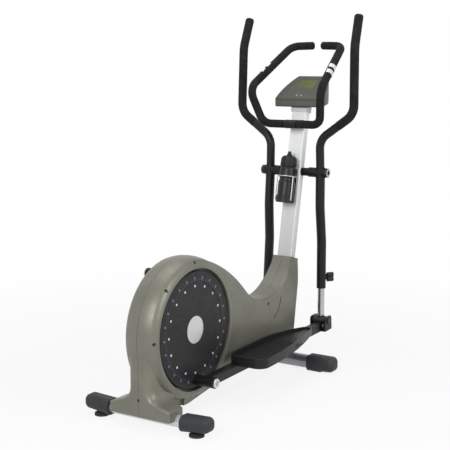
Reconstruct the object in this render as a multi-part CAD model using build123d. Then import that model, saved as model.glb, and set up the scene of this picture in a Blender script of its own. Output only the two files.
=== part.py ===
"""Elliptical trainer with a rear crank drum, swing arms, fixed handlebar and console.

Millimetres. +X points forward, +Y to the user's left, +Z up. The origin is on the floor, at the
middle of the machine. Right-hand pieces are modelled at negative Y and mirrored for the left.
"""
from build123d import *

import os
from math import acos, asin, atan2, cos, degrees, hypot, pi, radians, sin, sqrt, tan

# Fits
RUNNING_GAP = 0.05
SLIP_GAP = 0.15
FREE_GAP = 0.4

# Linkage: crank, swing arm pivot and pedal arm
CRANK_X = -398.0
CRANK_Z = 318.0
CRANK_RADIUS = 189.0
CRANK_LEAN = 1.2
PIVOT_X = 460.0
PIVOT_Z = 831.0
ARM_LENGTH = 649.0
ARM_JOG = 17.5
ROCKER_LENGTH = hypot(ARM_JOG, ARM_LENGTH)
PEDAL_ARM_LENGTH = 886.0

# Drum of the housing
DRUM_RADIUS = 272.0
DRUM_HALF_WIDTH = 70.0
CROWN_HALF_WIDTH = 48.0
CROWN_DROP = 8.0
DRUM_FLAT_RADIUS = 240.0
SHELL_WALL = 3.0
DISC_OPENING_RADIUS = 230.5
DISC_LIP_RADIUS = 216.0
DISC_LIP_DEPTH = 22.0
SEAM_GROOVE_WIDTH = 1.6
SEAM_GROOVE_DEPTH = 1.2

# Front of the housing: saddle, collar and belly
FRONT_HALF_WIDTH = 60.0
COLLAR_HALF_WIDTH = 44.0
TAPER_LOW_Z = 335.0
TAPER_HIGH_Z = 445.0
DRUM_LEAVE_ANGLE = 75.0
DRUM_LEAVE_SINK = 9.0
SHOULDER_SLOPE = 42.0
SADDLE_X = 138.5
SADDLE_CENTRE_Z = 566.0
SADDLE_RADIUS = 234.0
COLLAR_REAR_Z = 475.0
COLLAR_FRONT = (414.5, 457.0)
FRONT_KNEE = (394.5, 323.0)
FRONT_TOE = (358.0, 96.0)
BELLY = (-292.0, 67.0)
FRONT_EDGE_FILLET = 16.0
SLIT_TOP = (241.5, 323.0)
SLIT_FOOT = (184.5, 242.0)
SLIT_BOW = 9.0
SLIT_WIDTH = 4.0
SLIT_DEPTH = 1.6

# Skirt of the housing over the rear stabilizer: height, half width and front of each section
SKIRT_REAR_X = -664.0
SKIRT_BOTTOM_Z = 45.0
SKIRT_SECTIONS = (
    (80.0, 135.0, -574.0, 12.0),
    (93.0, 105.0, -561.0, 20.0),
    (102.0, 81.0, -538.0, 26.0),
    (116.0, 62.0, -502.0, 31.0),
    (150.0, 53.0, -440.0, 36.0),
)
SKIRT_OVERLAP = 40.0
WAIST_TOP_Z = 318.0
KEEL_STEP = 4.0
KEEL_SINK = 15.0
KEEL_TOP_Z = 112.0

# Housing screws
SCREW_RADIUS = 5.0
SCREW_HEAD = 4.0
SCREW_HOLE_RADIUS = 6.2
SCREW_BOSS_RADIUS = 9.0
SCREW_FLOOR_Y = 44.0
SCREW_CIRCLE = 252.0
SCREW_ANGLES = (90.0, 135.0, 180.0)
SADDLE_SCREW = (139.0, 312.0)
REAR_SCREW_Z = 107.0

# Stabilizers, caps, feet and wheels
STABILIZER_WALL = 2.5
STABILIZER_HALF_LENGTH = 245.0
REAR_TUBE_RADIUS = 23.0
REAR_STABILIZER_X = -608.5
REAR_STABILIZER_Z = 41.0
FRONT_TUBE_RADIUS = 28.5
FRONT_STABILIZER_X = 330.0
FRONT_STABILIZER_Z = 34.0
REAR_CAP_START = 160.0
FRONT_CAP_START = 155.0
CAP_END = 277.0
REAR_CAP_SIZE = (72.0, 60.0)
REAR_CAP_LIFT = 9.0
FRONT_CAP_SIZE = (76.0, 68.0)
FRONT_CAP_LIFT = 4.0
CAP_CORNER = 25.0
CAP_TAPER = 0.9
CAP_NOSE = 21.0
CAP_SHOULDER = 2.5
FOOT_RADIUS = 28.0
FOOT_HEIGHT = 13.0
FOOT_STEM_RADIUS = 6.0
FOOT_Y = 214.0
FRONT_PAD_SIZE = (32.0, 50.0)
FRONT_PAD_Y = 190.0
FRONT_PAD_CORNER = 6.0
WHEEL_RADIUS = 22.0
WHEEL_WIDTH = 20.0
WHEEL_LIFT = 6.0
WHEEL_AXLE_RADIUS = 4.0
WHEEL_Y = 232.0
WHEEL_LUG = 7.0

# Main frame inside the housing
BEAM_HALF_WIDTH = 25.0
BEAM_BOTTOM_Z = 102.0
BEAM_HEIGHT = 36.0
BEAM_WALL = 2.5
BEAM_REAR_X = -634.0
BEAM_FRONT_X = 350.0
POST_SIZE = 40.0
POST_Y = -12.0
BRACE_FOOT_X = -190.0
BRACE_SIZE = 30.0
BEARING_SHELL_RADIUS = 25.0
BEARING_RADIUS = 17.0
BEARING_WIDTH = 12.0
BEARING_SHELL_Y = (-38.0, 16.0)
SADDLE_BLOCK_LENGTH = 50.0

# Crank, discs and drive pulley
AXLE_RADIUS = 10.0
CRANK_ARM_Y = (40.0, 54.0)
CRANK_ARM_WIDTH = 44.0
DISC_RADIUS = 222.0
DISC_Y = (55.0, 65.0)
DISC_EDGE = 3.0
DISC_STEP_RADIUS = 178.0
DISC_STEP = 1.2
BADGE_RADIUS = 51.5
BADGE_HEIGHT = 3.5
PIN_COLLAR_RADIUS = 19.0
PIN_END_Y = 71.6
BELT_Y = (22.0, 37.0)
DRIVE_PULLEY_RADIUS = 140.0
PULLEY_FLANGE = 4.0
BELT_THICKNESS = 3.0

# Flywheel, idler and magnetic brake
FLYWHEEL_X = 48.0
FLYWHEEL_Z = 232.0
FLYWHEEL_RADIUS = 86.0
FLYWHEEL_Y = (-30.0, -6.0)
FLYWHEEL_SHAFT_RADIUS = 7.5
FLYWHEEL_PULLEY_RADIUS = 22.0
FORK_PLATE = 5.0
FORK_Y = (-43.0, 5.0)
IDLER_X = -100.0
IDLER_RADIUS = 20.0
IDLER_AXLE_RADIUS = 5.0
MAGNET_GAP = 4.0
MAGNET_SIZE = (12.0, 8.0, 26.0)
MOTOR_SIZE = (44.0, 40.0, 56.0)

# Mast and pivot
MAST_WIDTH = 70.0
MAST_DEPTH = 38.0
MAST_WALL = 2.5
MAST_CORNER = 6.0
MAST_LEAN = 10.83
MAST_FACE_X = 385.5
MAST_FACE_Z = 550.0
MAST_FOOT_Z = 150.0
MAST_TOP_Z = 1108.0
STUB_LENGTH = 240.0
PIVOT_SHAFT_RADIUS = 12.5
COVER_RADIUS = 17.3
SLEEVE_RADIUS = 20.75
SLEEVE_BORE_RADIUS = 15.5
SLEEVE_Y = (70.0, 150.0)
BUSH_LENGTH = 20.0
END_CAP_RADIUS = 19.5
END_CAP_LENGTH = 11.5
END_CAP_HEX = 11.0

# Swing arms, measured from the pivot with the lower tube hanging straight down
ARM_RADIUS = 18.0
ARM_LOWER_RADIUS = 20.0
ARM_WALL = 2.5
ARM_Y = 123.5
ARM_JOG_TOP = -150.0
ARM_JOG_FOOT = -300.0
ARM_FOOT_Z = -506.0
ARM_ELBOW = (-8.0, 141.0)
ARM_SHOULDER = (-5.0, 280.0, 252.0)
ARM_KNUCKLE = (-10.0, 282.0, 531.0)
ARM_TIP = (31.0, 280.0, 661.0)
ARM_ELBOW_BEND = 75.0
ARM_JOG_BEND = 260.0
ARM_KNUCKLE_BEND = 170.0
GRIP_BENDS = [ARM_ELBOW_BEND, ARM_KNUCKLE_BEND]
GRIP_RADIUS = 19.0
GRIP_CORE_RADIUS = 14.0
GRIP_START = 87.0
GRIP_END_THICKNESS = 7.0
GRIP_END_ROUND = 9.0

# Lower tubes and clamp knobs
LOWER_TUBE_RADIUS = 15.0
LOWER_TUBE_WALL = 2.5
LOWER_TUBE_INSERT = 130.0
REACH_TRAVEL = 25.0
BARREL_RADIUS = 19.0
BARREL_HALF_LENGTH = 30.0
CLEVIS_PIN_RADIUS = 8.0
KNOB_Z = -459.0
KNOB_RADIUS = 22.0
KNOB_LENGTH = 28.0
KNOB_TURN = 55.0
KNOB_EDGE = 3.0
KNOB_STEM_RADIUS = 6.0
KNOB_LOBES = 3
KNOB_BOSS_RADIUS = 10.0
KNOB_BOSS_LENGTH = 6.0

# Pedal arms, measured from the front joint with the arm pointing back
BAR_SIZE = 38.0
BAR_WALL = 2.5
BAR_CORNER = 5.0
BAR_RISE = 3.0
BAR_DROP = 25.0
BAR_FRONT_X = -25.0
BOSS_RADIUS = 21.0
BOSS_BORE_RADIUS = 12.0
BOSS_START_Y = 72.0
BOSS_END_Y = 156.5
NUT_RADIUS = 18.0
NUT_LENGTH = 7.0
NUT_HEX = 9.0
CLEVIS_HALF_WIDTH = 37.0
CLEVIS_EAR = 6.6
CLEVIS_TOP = 19.0
CLEVIS_BOTTOM = -43.0
CLEVIS_HALF_LENGTH = 30.0
CLEVIS_FLOOR = 18.0

# Pedals
PEDAL_FRONT_X = -150.0
PEDAL_LENGTH = 550.0
PEDAL_INNER_Y = 87.0
PEDAL_OUTER_Y = 250.0
PEDAL_TOE_Y = 147.0
PEDAL_TOE_HALF_WIDTH = 22.0
PEDAL_TOE_ROUND = 15.0
PEDAL_INNER_BEND = 240.0
PEDAL_HEEL_CORNER = 42.0
PEDAL_FLOOR = 5.0
PEDAL_RIM = 28.0
PEDAL_TOE_FALL = 15.0
PEDAL_FALL_LENGTH = 260.0
PEDAL_SKIRT = 10.0
PEDAL_WALL = 4.5
TREAD_COUNT = 9
TREAD_WIDTH = 5.0
TREAD_HEIGHT = 2.0
TREAD_LENGTH = 300.0

# Fixed handlebar
BAR_TUBE_RADIUS = 14.0
BAR_TUBE_WALL = 2.0
BAR_GRIP_RADIUS = 17.5
CROSS_CORNER = (421.0, 138.5, 1036.0)
HAND_CORNER = (358.5, 172.0, 1185.5)
REACH_CORNER = (645.0, 124.5, 1367.0)
BAR_END = (655.0, 19.0, 1369.5)
CROSS_BEND = 45.0
HAND_BEND = 55.0
REACH_BEND = 45.0
BAR_END_ROUND = 8.0
BAR_GRIP_START = 4.0
CLAMP_HALF_WIDTH = 29.0
CLAMP_RADIUS = 18.5
CLAMP_NECK = 30.0
SENSOR_PLACES = (0.35, 0.47)
SENSOR_LENGTH = 24.0
SENSOR_THICKNESS = 1.5

# Console
CONSOLE_LIP_X = 470.0
CONSOLE_LIP_Z = (1106.0, 1144.0)
CONSOLE_TOP = (617.0, 1240.0)
CONSOLE_BACK = (642.0, 1196.0)
CONSOLE_HEEL = (596.0, 1118.0)
CONSOLE_HALF_WIDTH = 111.0
CONSOLE_MID = (570.0, 98.0)
CONSOLE_TOP_HALF_WIDTH = 58.0
CONSOLE_ROUND = 8.0
CONSOLE_FACE_THICKNESS = 9.0
CONSOLE_WALL = 3.0
LENS_SIZE = (84.0, 62.0)
LENS_THICKNESS = 2.0
LENS_PLACE = 0.62
BUTTON_RADIUS = 5.0
BUTTON_LENGTH = 9.0
BUTTON_PROUD = 2.5
BUTTON_TRAVEL = 1.5
BUTTON_SPACING = 22.0
BUTTON_PLACE = 0.12
SOCKET_WALL = 3.0

# Bottle and its holder, measured along the mast
BOTTLE_RADIUS = 36.0
BOTTLE_BASE_Z = 701.0
BOTTLE_HEIGHT = 150.0
BOTTLE_WALL = 2.0
BOTTLE_SHOULDER = 16.0
NECK_RADIUS = 30.0
CAP_SKIRT = 42.0
NOZZLE_RADIUS = 9.0
NOZZLE_HEIGHT = 22.0
HOLDER_PLATE = 5.0
HOLDER_WIDTH = 44.0
HOLDER_HEIGHT = 150.0
SHELF_THICKNESS = 5.0
HOLDER_RIM = 30.0
HOLDER_WALL = 3.0
WIRE_RADIUS = 2.5
WIRE_HEIGHT = 112.0


# Shared helpers

def place_box(x: tuple, y: tuple, z: tuple) -> Part:
    """Box between two limits on each axis."""
    size = [high - low for low, high in (x, y, z)]
    middle = [(high + low) / 2 for low, high in (x, y, z)]
    return Pos(*middle) * Box(*size)


def cross_rod(radius: float, y: tuple, x: float = 0.0, z: float = 0.0) -> Part:
    """Cylinder along Y between two limits."""
    return Pos(x, (y[0] + y[1]) / 2, z) * Rot(90, 0, 0) * Cylinder(radius, abs(y[1] - y[0]))


def cross_ring(outer: float, inner: float, y: tuple, x: float = 0.0, z: float = 0.0) -> Part:
    """Ring about Y between two limits."""
    return cross_rod(outer, y, x, z) - cross_rod(inner, (y[0] - 1, y[1] + 1), x, z)


def side_slab(face: Sketch, half_width: float) -> Part:
    """Sketch of X and Z made into a slab on both sides of the middle plane."""
    return extrude(Plane.XZ * face, amount=half_width, both=True)


def polygon(*points: tuple) -> Sketch:
    """Closed face through the points."""
    return make_face(Polyline(*points, close=True))


def bent_rod(points: list, bends: list, radius: float) -> Part:
    """Round rod along straight runs joined by arcs."""
    path = FilletPolyline(*points, radius=bends) if bends else Line(*points)
    section = Plane(origin=path @ 0, z_dir=path % 0) * Circle(radius)
    return sweep(section, path=path)


def bent_tube(points: list, bends: list, radius: float, wall: float) -> Part:
    """Round tube along straight runs joined by arcs."""
    return bent_rod(points, bends, radius) - bent_rod(points, bends, radius - wall)


def left_of(shape: Part) -> Part:
    """Mirror image of a right-hand piece."""
    return mirror(shape, about=Plane.XZ)


def along(start: tuple, end: tuple, distance: float) -> tuple:
    """Point at a distance from the start towards the end."""
    step = Vector(*end) - Vector(*start)
    return tuple(Vector(*start) + step.normalized() * distance)


def polar(centre: tuple, radius: float, angle: float) -> tuple:
    """Point on a circle in the side view."""
    return (centre[0] + radius * cos(radians(angle)), centre[1] + radius * sin(radians(angle)))


# Linkage geometry

def crank_pin(right: bool) -> tuple:
    """Crank pin in the side view, the two sides half a turn apart."""
    turn = 270.0 - CRANK_LEAN if right else 90.0 - CRANK_LEAN
    return polar((CRANK_X, CRANK_Z), CRANK_RADIUS, turn)


def front_joint(right: bool) -> tuple:
    """Joint of swing arm and pedal arm: where their circles about pivot and pin cross."""
    pin = crank_pin(right)
    span = hypot(PIVOT_X - pin[0], PIVOT_Z - pin[1])
    bearing = atan2(PIVOT_Z - pin[1], PIVOT_X - pin[0])
    reach = (span ** 2 + PEDAL_ARM_LENGTH ** 2 - ROCKER_LENGTH ** 2) / (2 * span * PEDAL_ARM_LENGTH)
    return polar(pin, PEDAL_ARM_LENGTH, degrees(bearing - acos(reach)))


def swing_angle(right: bool) -> float:
    """Turn of a swing arm about +Y from hanging straight down."""
    joint = front_joint(right)
    bearing = atan2(PIVOT_X - joint[0], PIVOT_Z - joint[1])
    return degrees(bearing + atan2(ARM_JOG, ARM_LENGTH))


def pedal_pitch(right: bool) -> float:
    """Rise of a pedal arm from its crank pin to its front joint, in degrees."""
    pin = crank_pin(right)
    joint = front_joint(right)
    return degrees(atan2(joint[1] - pin[1], joint[0] - pin[0]))


def set_swing(shape: Part, right: bool) -> Part:
    """Swing-arm piece turned to its place on the pivot."""
    piece = shape if right else left_of(shape)
    return Pos(PIVOT_X, 0, PIVOT_Z) * Rot(0, swing_angle(right), 0) * piece


def set_pedal(shape: Part, right: bool) -> Part:
    """Pedal-arm piece turned to its place at the front joint."""
    piece = shape if right else left_of(shape)
    joint = front_joint(right)
    return Pos(joint[0], 0, joint[1]) * Rot(0, -pedal_pitch(right), 0) * piece


def set_mast(shape: Part) -> Part:
    """Piece drawn on an upright mast, leaned with it about a point of the mast's rear face."""
    return Pos(MAST_FACE_X, 0, MAST_FACE_Z) * Rot(0, MAST_LEAN, 0) * shape


def mast_height(z: float) -> float:
    """Distance along the mast for a height above the floor."""
    return (z - MAST_FACE_Z) / cos(radians(MAST_LEAN))


def mast_rear_x(z: float) -> float:
    """X of the mast's rear face at a height above the floor."""
    return MAST_FACE_X + (z - MAST_FACE_Z) * tan(radians(MAST_LEAN))


# Housing

def drum_form(inset: float) -> Part:
    """Crowned drum round the crank, drawn in by an inset."""
    crown_radius = (CROWN_HALF_WIDTH ** 2 + CROWN_DROP ** 2) / (2 * CROWN_DROP)
    lean = asin(CROWN_HALF_WIDTH / crown_radius)
    radius = DRUM_RADIUS - inset
    half = DRUM_HALF_WIDTH - inset
    crown_half = CROWN_HALF_WIDTH - inset
    edge = radius - CROWN_DROP
    flat = DRUM_FLAT_RADIUS - inset
    outline = [
        Line((0, -half), (flat, -half)),
        TangentArc((edge, -crown_half), (flat, -half), tangent=(-sin(lean), -cos(lean))),
        ThreePointArc((edge, -crown_half), (radius, 0), (edge, crown_half)),
        TangentArc((edge, crown_half), (flat, half), tangent=(-sin(lean), cos(lean))),
        Line((flat, half), (0, half)),
        Line((0, half), (0, -half)),
    ]
    drum = revolve(make_face(outline), axis=Axis.Y)
    return Pos(CRANK_X, 0, CRANK_Z) * drum


def front_outline() -> Sketch:
    """Side outline from the drum over the saddle to the collar and back along the belly."""
    crank = (CRANK_X, CRANK_Z)
    saddle = (SADDLE_X, SADDLE_CENTRE_Z)
    slope = 90.0 - SHOULDER_SLOPE
    start = polar(crank, DRUM_RADIUS - DRUM_LEAVE_SINK, DRUM_LEAVE_ANGLE)
    normal = (cos(radians(slope)), sin(radians(slope)))
    rise = normal[0] * (saddle[0] - start[0]) + normal[1] * (saddle[1] - start[1]) - SADDLE_RADIUS
    shoulder_radius = rise / (1 - cos(radians(DRUM_LEAVE_ANGLE - slope)))
    shoulder = polar(start, -shoulder_radius, DRUM_LEAVE_ANGLE)
    shoulder_end = polar(shoulder, shoulder_radius, slope)
    shoulder_mid = polar(shoulder, shoulder_radius, (slope + DRUM_LEAVE_ANGLE) / 2)
    saddle_start = polar(saddle, -SADDLE_RADIUS, slope)
    collar_angle = degrees(asin((COLLAR_REAR_Z - SADDLE_CENTRE_Z) / SADDLE_RADIUS)) + 360.0
    saddle_mid = polar(saddle, SADDLE_RADIUS, (180.0 + slope + collar_angle) / 2)
    collar_rear = polar(saddle, SADDLE_RADIUS, collar_angle)
    heel = (SKIRT_SECTIONS[-1][2] - SKIRT_OVERLAP, SKIRT_BOTTOM_Z - SKIRT_OVERLAP)
    outline = [
        ThreePointArc(start, shoulder_mid, shoulder_end),
        Line(shoulder_end, saddle_start),
        ThreePointArc(saddle_start, saddle_mid, collar_rear),
        Line(collar_rear, COLLAR_FRONT),
        Line(COLLAR_FRONT, FRONT_KNEE),
        Line(FRONT_KNEE, FRONT_TOE),
        Line(FRONT_TOE, BELLY),
        Line(BELLY, heel),
        Line(heel, start),
    ]
    return make_face(outline)


def front_form(inset: float) -> Part:
    """Front of the housing with rounded upper edges, its sides drawn in at the collar."""
    face = offset(front_outline(), amount=-inset, kind=Kind.INTERSECTION) if inset else front_outline()
    slab = side_slab(face, FRONT_HALF_WIDTH - inset)
    slab = fillet(top_edges(slab), radius=FRONT_EDGE_FILLET - inset)
    low = FRONT_HALF_WIDTH - inset
    high = COLLAR_HALF_WIDTH - inset
    top_z = SADDLE_CENTRE_Z
    waste = polygon(
        (low, TAPER_LOW_Z), (high, TAPER_HIGH_Z), (high, top_z), (low + 1, top_z), (low + 1, TAPER_LOW_Z),
    )
    waste += mirror(waste, about=Plane.YZ)
    return slab - Pos(SADDLE_X, 0, 0) * extrude(Plane.YZ * waste, amount=DRUM_RADIUS * 2)


def top_edges(slab: Part) -> ShapeList:
    """Edges of a slab's two sides along its shoulder, saddle, collar and nose."""
    sides = slab.edges().filter_by(lambda e: is_top_edge(e.center()))
    return sides.filter_by(Axis.Y, reverse=True)


def is_top_edge(point: Vector) -> bool:
    """True above the belly line and off the drum's side of the outline."""
    belly_z = BELLY[1] + (point.X - BELLY[0]) * (FRONT_TOE[1] - BELLY[1]) / (FRONT_TOE[0] - BELLY[0])
    inside = point.X < CRANK_X + DRUM_RADIUS * 0.5 and point.Z < CRANK_Z
    return point.Z > belly_z + 10 and not inside


def skirt_section(section: tuple, inset: float) -> Sketch:
    """Rounded plan of the skirt at one height, drawn in by an inset."""
    _, half, front, corner = section
    depth = front - SKIRT_REAR_X - 2 * inset
    middle = (front + SKIRT_REAR_X) / 2
    return Pos(middle, 0) * RectangleRounded(depth, 2 * (half - inset), corner)


def skirt_form(inset: float) -> Part:
    """Waist behind the drum that flares out over the rear stabilizer."""
    foot = SKIRT_SECTIONS[0]
    waist = SKIRT_SECTIONS[-1]
    plans = [Pos(0, 0, section[0] - inset) * skirt_section(section, inset) for section in SKIRT_SECTIONS]
    flare = loft(plans)
    base = extrude(skirt_section(foot, inset), amount=foot[0] - inset)
    column = extrude(skirt_section(waist, inset), amount=WAIST_TOP_Z - waist[0] + inset)
    return base + flare + Pos(0, 0, waist[0] - inset) * column


def keel_form(inset: float) -> Part:
    """Block under the drum that joins the skirt to the front."""
    half = SKIRT_SECTIONS[-1][1] - KEEL_STEP - inset
    rear = SKIRT_SECTIONS[0][2] - KEEL_SINK
    front = SKIRT_SECTIONS[-1][2] - SKIRT_OVERLAP + 2 * KEEL_SINK
    return place_box((rear, front), (-half, half), (0, KEEL_TOP_Z - inset))


def belly_cut(raise_by: float) -> Part:
    """Space under the housing's bottom edge."""
    left = SKIRT_REAR_X - DRUM_RADIUS
    low = -DRUM_RADIUS
    skirt = SKIRT_BOTTOM_Z + raise_by
    face = polygon(
        (left, skirt), (SKIRT_SECTIONS[-1][2], skirt), (BELLY[0], BELLY[1] + raise_by),
        (FRONT_TOE[0] + 60, FRONT_TOE[1] + raise_by), (FRONT_TOE[0] + 60, low), (left, low),
    )
    return side_slab(face, SKIRT_SECTIONS[0][1] * 1.5)


def housing_form(inset: float) -> Part:
    """Whole housing as one solid, drawn in by an inset."""
    form = drum_form(inset) + front_form(inset) + skirt_form(inset) + keel_form(inset)
    return form - belly_cut(inset)


def mast_space(clearance: float, low_z: float, high_z: float) -> Part:
    """Space round the mast between two heights."""
    depth = MAST_DEPTH + 2 * clearance
    width = MAST_WIDTH + 2 * clearance
    low = mast_height(low_z)
    high = mast_height(high_z)
    block = place_box((-clearance, depth - clearance), (-width / 2, width / 2), (low, high))
    return set_mast(block)


def screw_places() -> list:
    """Side-view places of the screws that hold a housing half."""
    ring = [polar((CRANK_X, CRANK_Z), SCREW_CIRCLE, angle) for angle in SCREW_ANGLES]
    return ring + [SADDLE_SCREW]


def slit_cut() -> Part:
    """Curved decorative slit on the right side of the front."""
    middle = ((SLIT_TOP[0] + SLIT_FOOT[0]) / 2 + SLIT_BOW, (SLIT_TOP[1] + SLIT_FOOT[1]) / 2 - SLIT_BOW)
    path = Plane.XZ * ThreePointArc(SLIT_TOP, middle, SLIT_FOOT)
    section = Plane(origin=path @ 0, z_dir=path % 0) * Rectangle(SLIT_WIDTH, SLIT_WIDTH)
    groove = sweep(section, path=path)
    return Pos(0, -FRONT_HALF_WIDTH - SLIT_WIDTH / 2 + SLIT_DEPTH, 0) * groove


def right_side(past: float) -> Part:
    """Space on the right of the middle plane, and a little past it."""
    reach = DRUM_RADIUS * 4
    return place_box((-reach, reach), (-reach, past), (0, reach))


def right_shell() -> Part:
    """Right half of the housing with its disc opening, lip, screw posts and cut-outs."""
    outer = housing_form(0) & right_side(0)
    shell = outer - (housing_form(SHELL_WALL) & right_side(SHELL_WALL))
    lip_back = DRUM_HALF_WIDTH - DISC_LIP_DEPTH
    opening = cross_rod(DISC_OPENING_RADIUS, (-DRUM_HALF_WIDTH - 1, -lip_back), CRANK_X, CRANK_Z)
    lip_ring = cross_rod(
        DISC_OPENING_RADIUS + SHELL_WALL, (-DRUM_HALF_WIDTH, -lip_back + SHELL_WALL), CRANK_X, CRANK_Z
    )
    lip_hole = cross_rod(DISC_LIP_RADIUS, (-DRUM_HALF_WIDTH - 1, 0), CRANK_X, CRANK_Z)
    posts = lip_ring
    for x, z in screw_places():
        posts += cross_rod(SCREW_BOSS_RADIUS, (-DRUM_HALF_WIDTH, 0), x, z)
    shell += posts & housing_form(SHELL_WALL / 2)
    shell = shell - opening - lip_hole
    for x, z in screw_places():
        shell -= cross_rod(SCREW_HOLE_RADIUS, (-DRUM_HALF_WIDTH - 1, -SCREW_FLOOR_Y), x, z)
    shell -= mast_space(FREE_GAP, FRONT_KNEE[1], SADDLE_CENTRE_Z)
    tube_gap = REAR_TUBE_RADIUS + FREE_GAP
    skirt_end = SKIRT_SECTIONS[0][1]
    shell -= cross_rod(tube_gap, (-skirt_end - 1, 0), REAR_STABILIZER_X, REAR_STABILIZER_Z)
    floor = skirt_section(SKIRT_SECTIONS[0], SHELL_WALL)
    shell -= extrude(floor, amount=SKIRT_BOTTOM_Z + SHELL_WALL + 1)
    under_tube = (REAR_STABILIZER_X - tube_gap, REAR_STABILIZER_X + tube_gap)
    shell -= place_box(under_tube, (-skirt_end - 1, 0), (0, REAR_STABILIZER_Z))
    block = SADDLE_BLOCK_LENGTH / 2 + FREE_GAP
    block_x = (FRONT_STABILIZER_X - block, FRONT_STABILIZER_X + block)
    shell -= place_box(block_x, (-BEAM_HALF_WIDTH - FREE_GAP, 0), (0, BEAM_BOTTOM_Z))
    shell -= slit_cut()
    rear_hole = Pos(SKIRT_REAR_X, 0, REAR_SCREW_Z) * Rot(0, 90, 0) * Cylinder(SCREW_RADIUS + SLIP_GAP, 30)
    shell -= rear_hole
    return shell


def shell_screws() -> Part:
    """Screws at the bottom of their holes, and the one on the rear seam."""
    screws = []
    for x, z in screw_places():
        head = cross_rod(SCREW_RADIUS, (-SCREW_FLOOR_Y - SCREW_HEAD, -SCREW_FLOOR_Y), x, z)
        screws += [head, left_of(head)]
    rear = Rot(0, 90, 0) * Cylinder(SCREW_RADIUS, SCREW_HEAD + SHELL_WALL)
    screws.append(Pos(SKIRT_REAR_X + SHELL_WALL, 0, REAR_SCREW_Z) * rear)
    return Compound(children=screws)


# Stabilizers, caps, feet and wheels

def stabilizer(radius: float, x: float, z: float) -> Part:
    """Round cross tube."""
    span = (-STABILIZER_HALF_LENGTH, STABILIZER_HALF_LENGTH)
    return cross_ring(radius, radius - STABILIZER_WALL, span, x, z)


def cap_form(start: float, size: tuple, lift: float, tube_radius: float) -> Part:
    """Right-hand end cap round a stabilizer tube on the origin, its outer end smaller and raised."""
    mouth_plane = Plane(origin=(0, -start, 0), x_dir=(1, 0, 0), z_dir=(0, -1, 0))
    end_plane = Plane(origin=(0, -CAP_END, lift), x_dir=(1, 0, 0), z_dir=(0, -1, 0))
    mouth = mouth_plane * RectangleRounded(size[0], size[1], CAP_CORNER)
    end = end_plane * RectangleRounded(size[0] * CAP_TAPER, size[1] * CAP_TAPER, CAP_CORNER * CAP_TAPER)
    body = loft([mouth, end])
    body = fillet(body.faces().sort_by(Axis.Y)[0].edges(), radius=CAP_NOSE)
    body = fillet(body.faces().sort_by(Axis.Y)[-1].edges(), radius=CAP_SHOULDER)
    return body - cross_rod(tube_radius, (-STABILIZER_HALF_LENGTH, -start + 1))


def rear_cap() -> Part:
    """Right rear cap with the threaded seat of its levelling foot."""
    cap = cap_form(REAR_CAP_START, REAR_CAP_SIZE, REAR_CAP_LIFT, REAR_TUBE_RADIUS)
    hole_top = -REAR_TUBE_RADIUS - 1
    hole = Pos(0, -FOOT_Y, hole_top - REAR_TUBE_RADIUS / 2)
    cap -= hole * Cylinder(FOOT_STEM_RADIUS + RUNNING_GAP, REAR_TUBE_RADIUS)
    return Pos(REAR_STABILIZER_X, 0, REAR_STABILIZER_Z) * cap


def levelling_foot() -> Part:
    """Right levelling foot: a stepped pad and its stem in the cap."""
    stem_top = REAR_STABILIZER_Z - REAR_TUBE_RADIUS - 1 - FREE_GAP
    profile = [
        (0, 0), (FOOT_RADIUS, 0), (FOOT_RADIUS, FOOT_HEIGHT * 0.6), (FOOT_RADIUS * 0.7, FOOT_HEIGHT),
        (FOOT_STEM_RADIUS, FOOT_HEIGHT), (FOOT_STEM_RADIUS, stem_top), (0, stem_top),
    ]
    foot = revolve(Plane.XZ * polygon(*profile), axis=Axis.Z)
    return Pos(REAR_STABILIZER_X, -FOOT_Y, 0) * foot


def wheel_centre() -> tuple:
    """Side-view centre of a transport wheel, ahead of the front tube."""
    ahead = FRONT_TUBE_RADIUS + WHEEL_RADIUS + 2 * FREE_GAP
    return (FRONT_STABILIZER_X + ahead, WHEEL_RADIUS + WHEEL_LIFT)


def wheel_span() -> tuple:
    """Limits of the right wheel along Y."""
    return (-WHEEL_Y - WHEEL_WIDTH / 2, -WHEEL_Y + WHEEL_WIDTH / 2)


def front_cap_form() -> Part:
    """Right front cap before its wheel lugs."""
    return cap_form(FRONT_CAP_START, FRONT_CAP_SIZE, FRONT_CAP_LIFT, FRONT_TUBE_RADIUS)


def front_cap() -> Part:
    """Right front cap with a flat floor pad, and the lugs and axle of its transport wheel."""
    x, z = wheel_centre()
    low, high = wheel_span()
    lugs_y = (low - FREE_GAP - WHEEL_LUG, high + FREE_GAP + WHEEL_LUG)
    lug_radius = WHEEL_RADIUS * 0.62
    arm_x = (FRONT_STABILIZER_X, x)
    lugs = cross_rod(lug_radius, lugs_y, x, z) + place_box(arm_x, lugs_y, (z - lug_radius, z + lug_radius))
    cap = Pos(FRONT_STABILIZER_X, 0, FRONT_STABILIZER_Z) * front_cap_form()
    socket = cross_rod(
        FRONT_TUBE_RADIUS, (-STABILIZER_HALF_LENGTH, 0), FRONT_STABILIZER_X, FRONT_STABILIZER_Z
    )
    well = cross_rod(WHEEL_RADIUS + 2, (low - FREE_GAP, high + FREE_GAP), x, z)
    pad = extrude(RectangleRounded(*FRONT_PAD_SIZE, FRONT_PAD_CORNER), amount=FRONT_STABILIZER_Z)
    pad = Pos(FRONT_STABILIZER_X, -FRONT_PAD_Y, 0) * pad
    cap = cap + (lugs + pad - socket) - well
    return cap + cross_rod(WHEEL_AXLE_RADIUS, (low - FREE_GAP - 1, high + FREE_GAP + 1), x, z)


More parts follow.
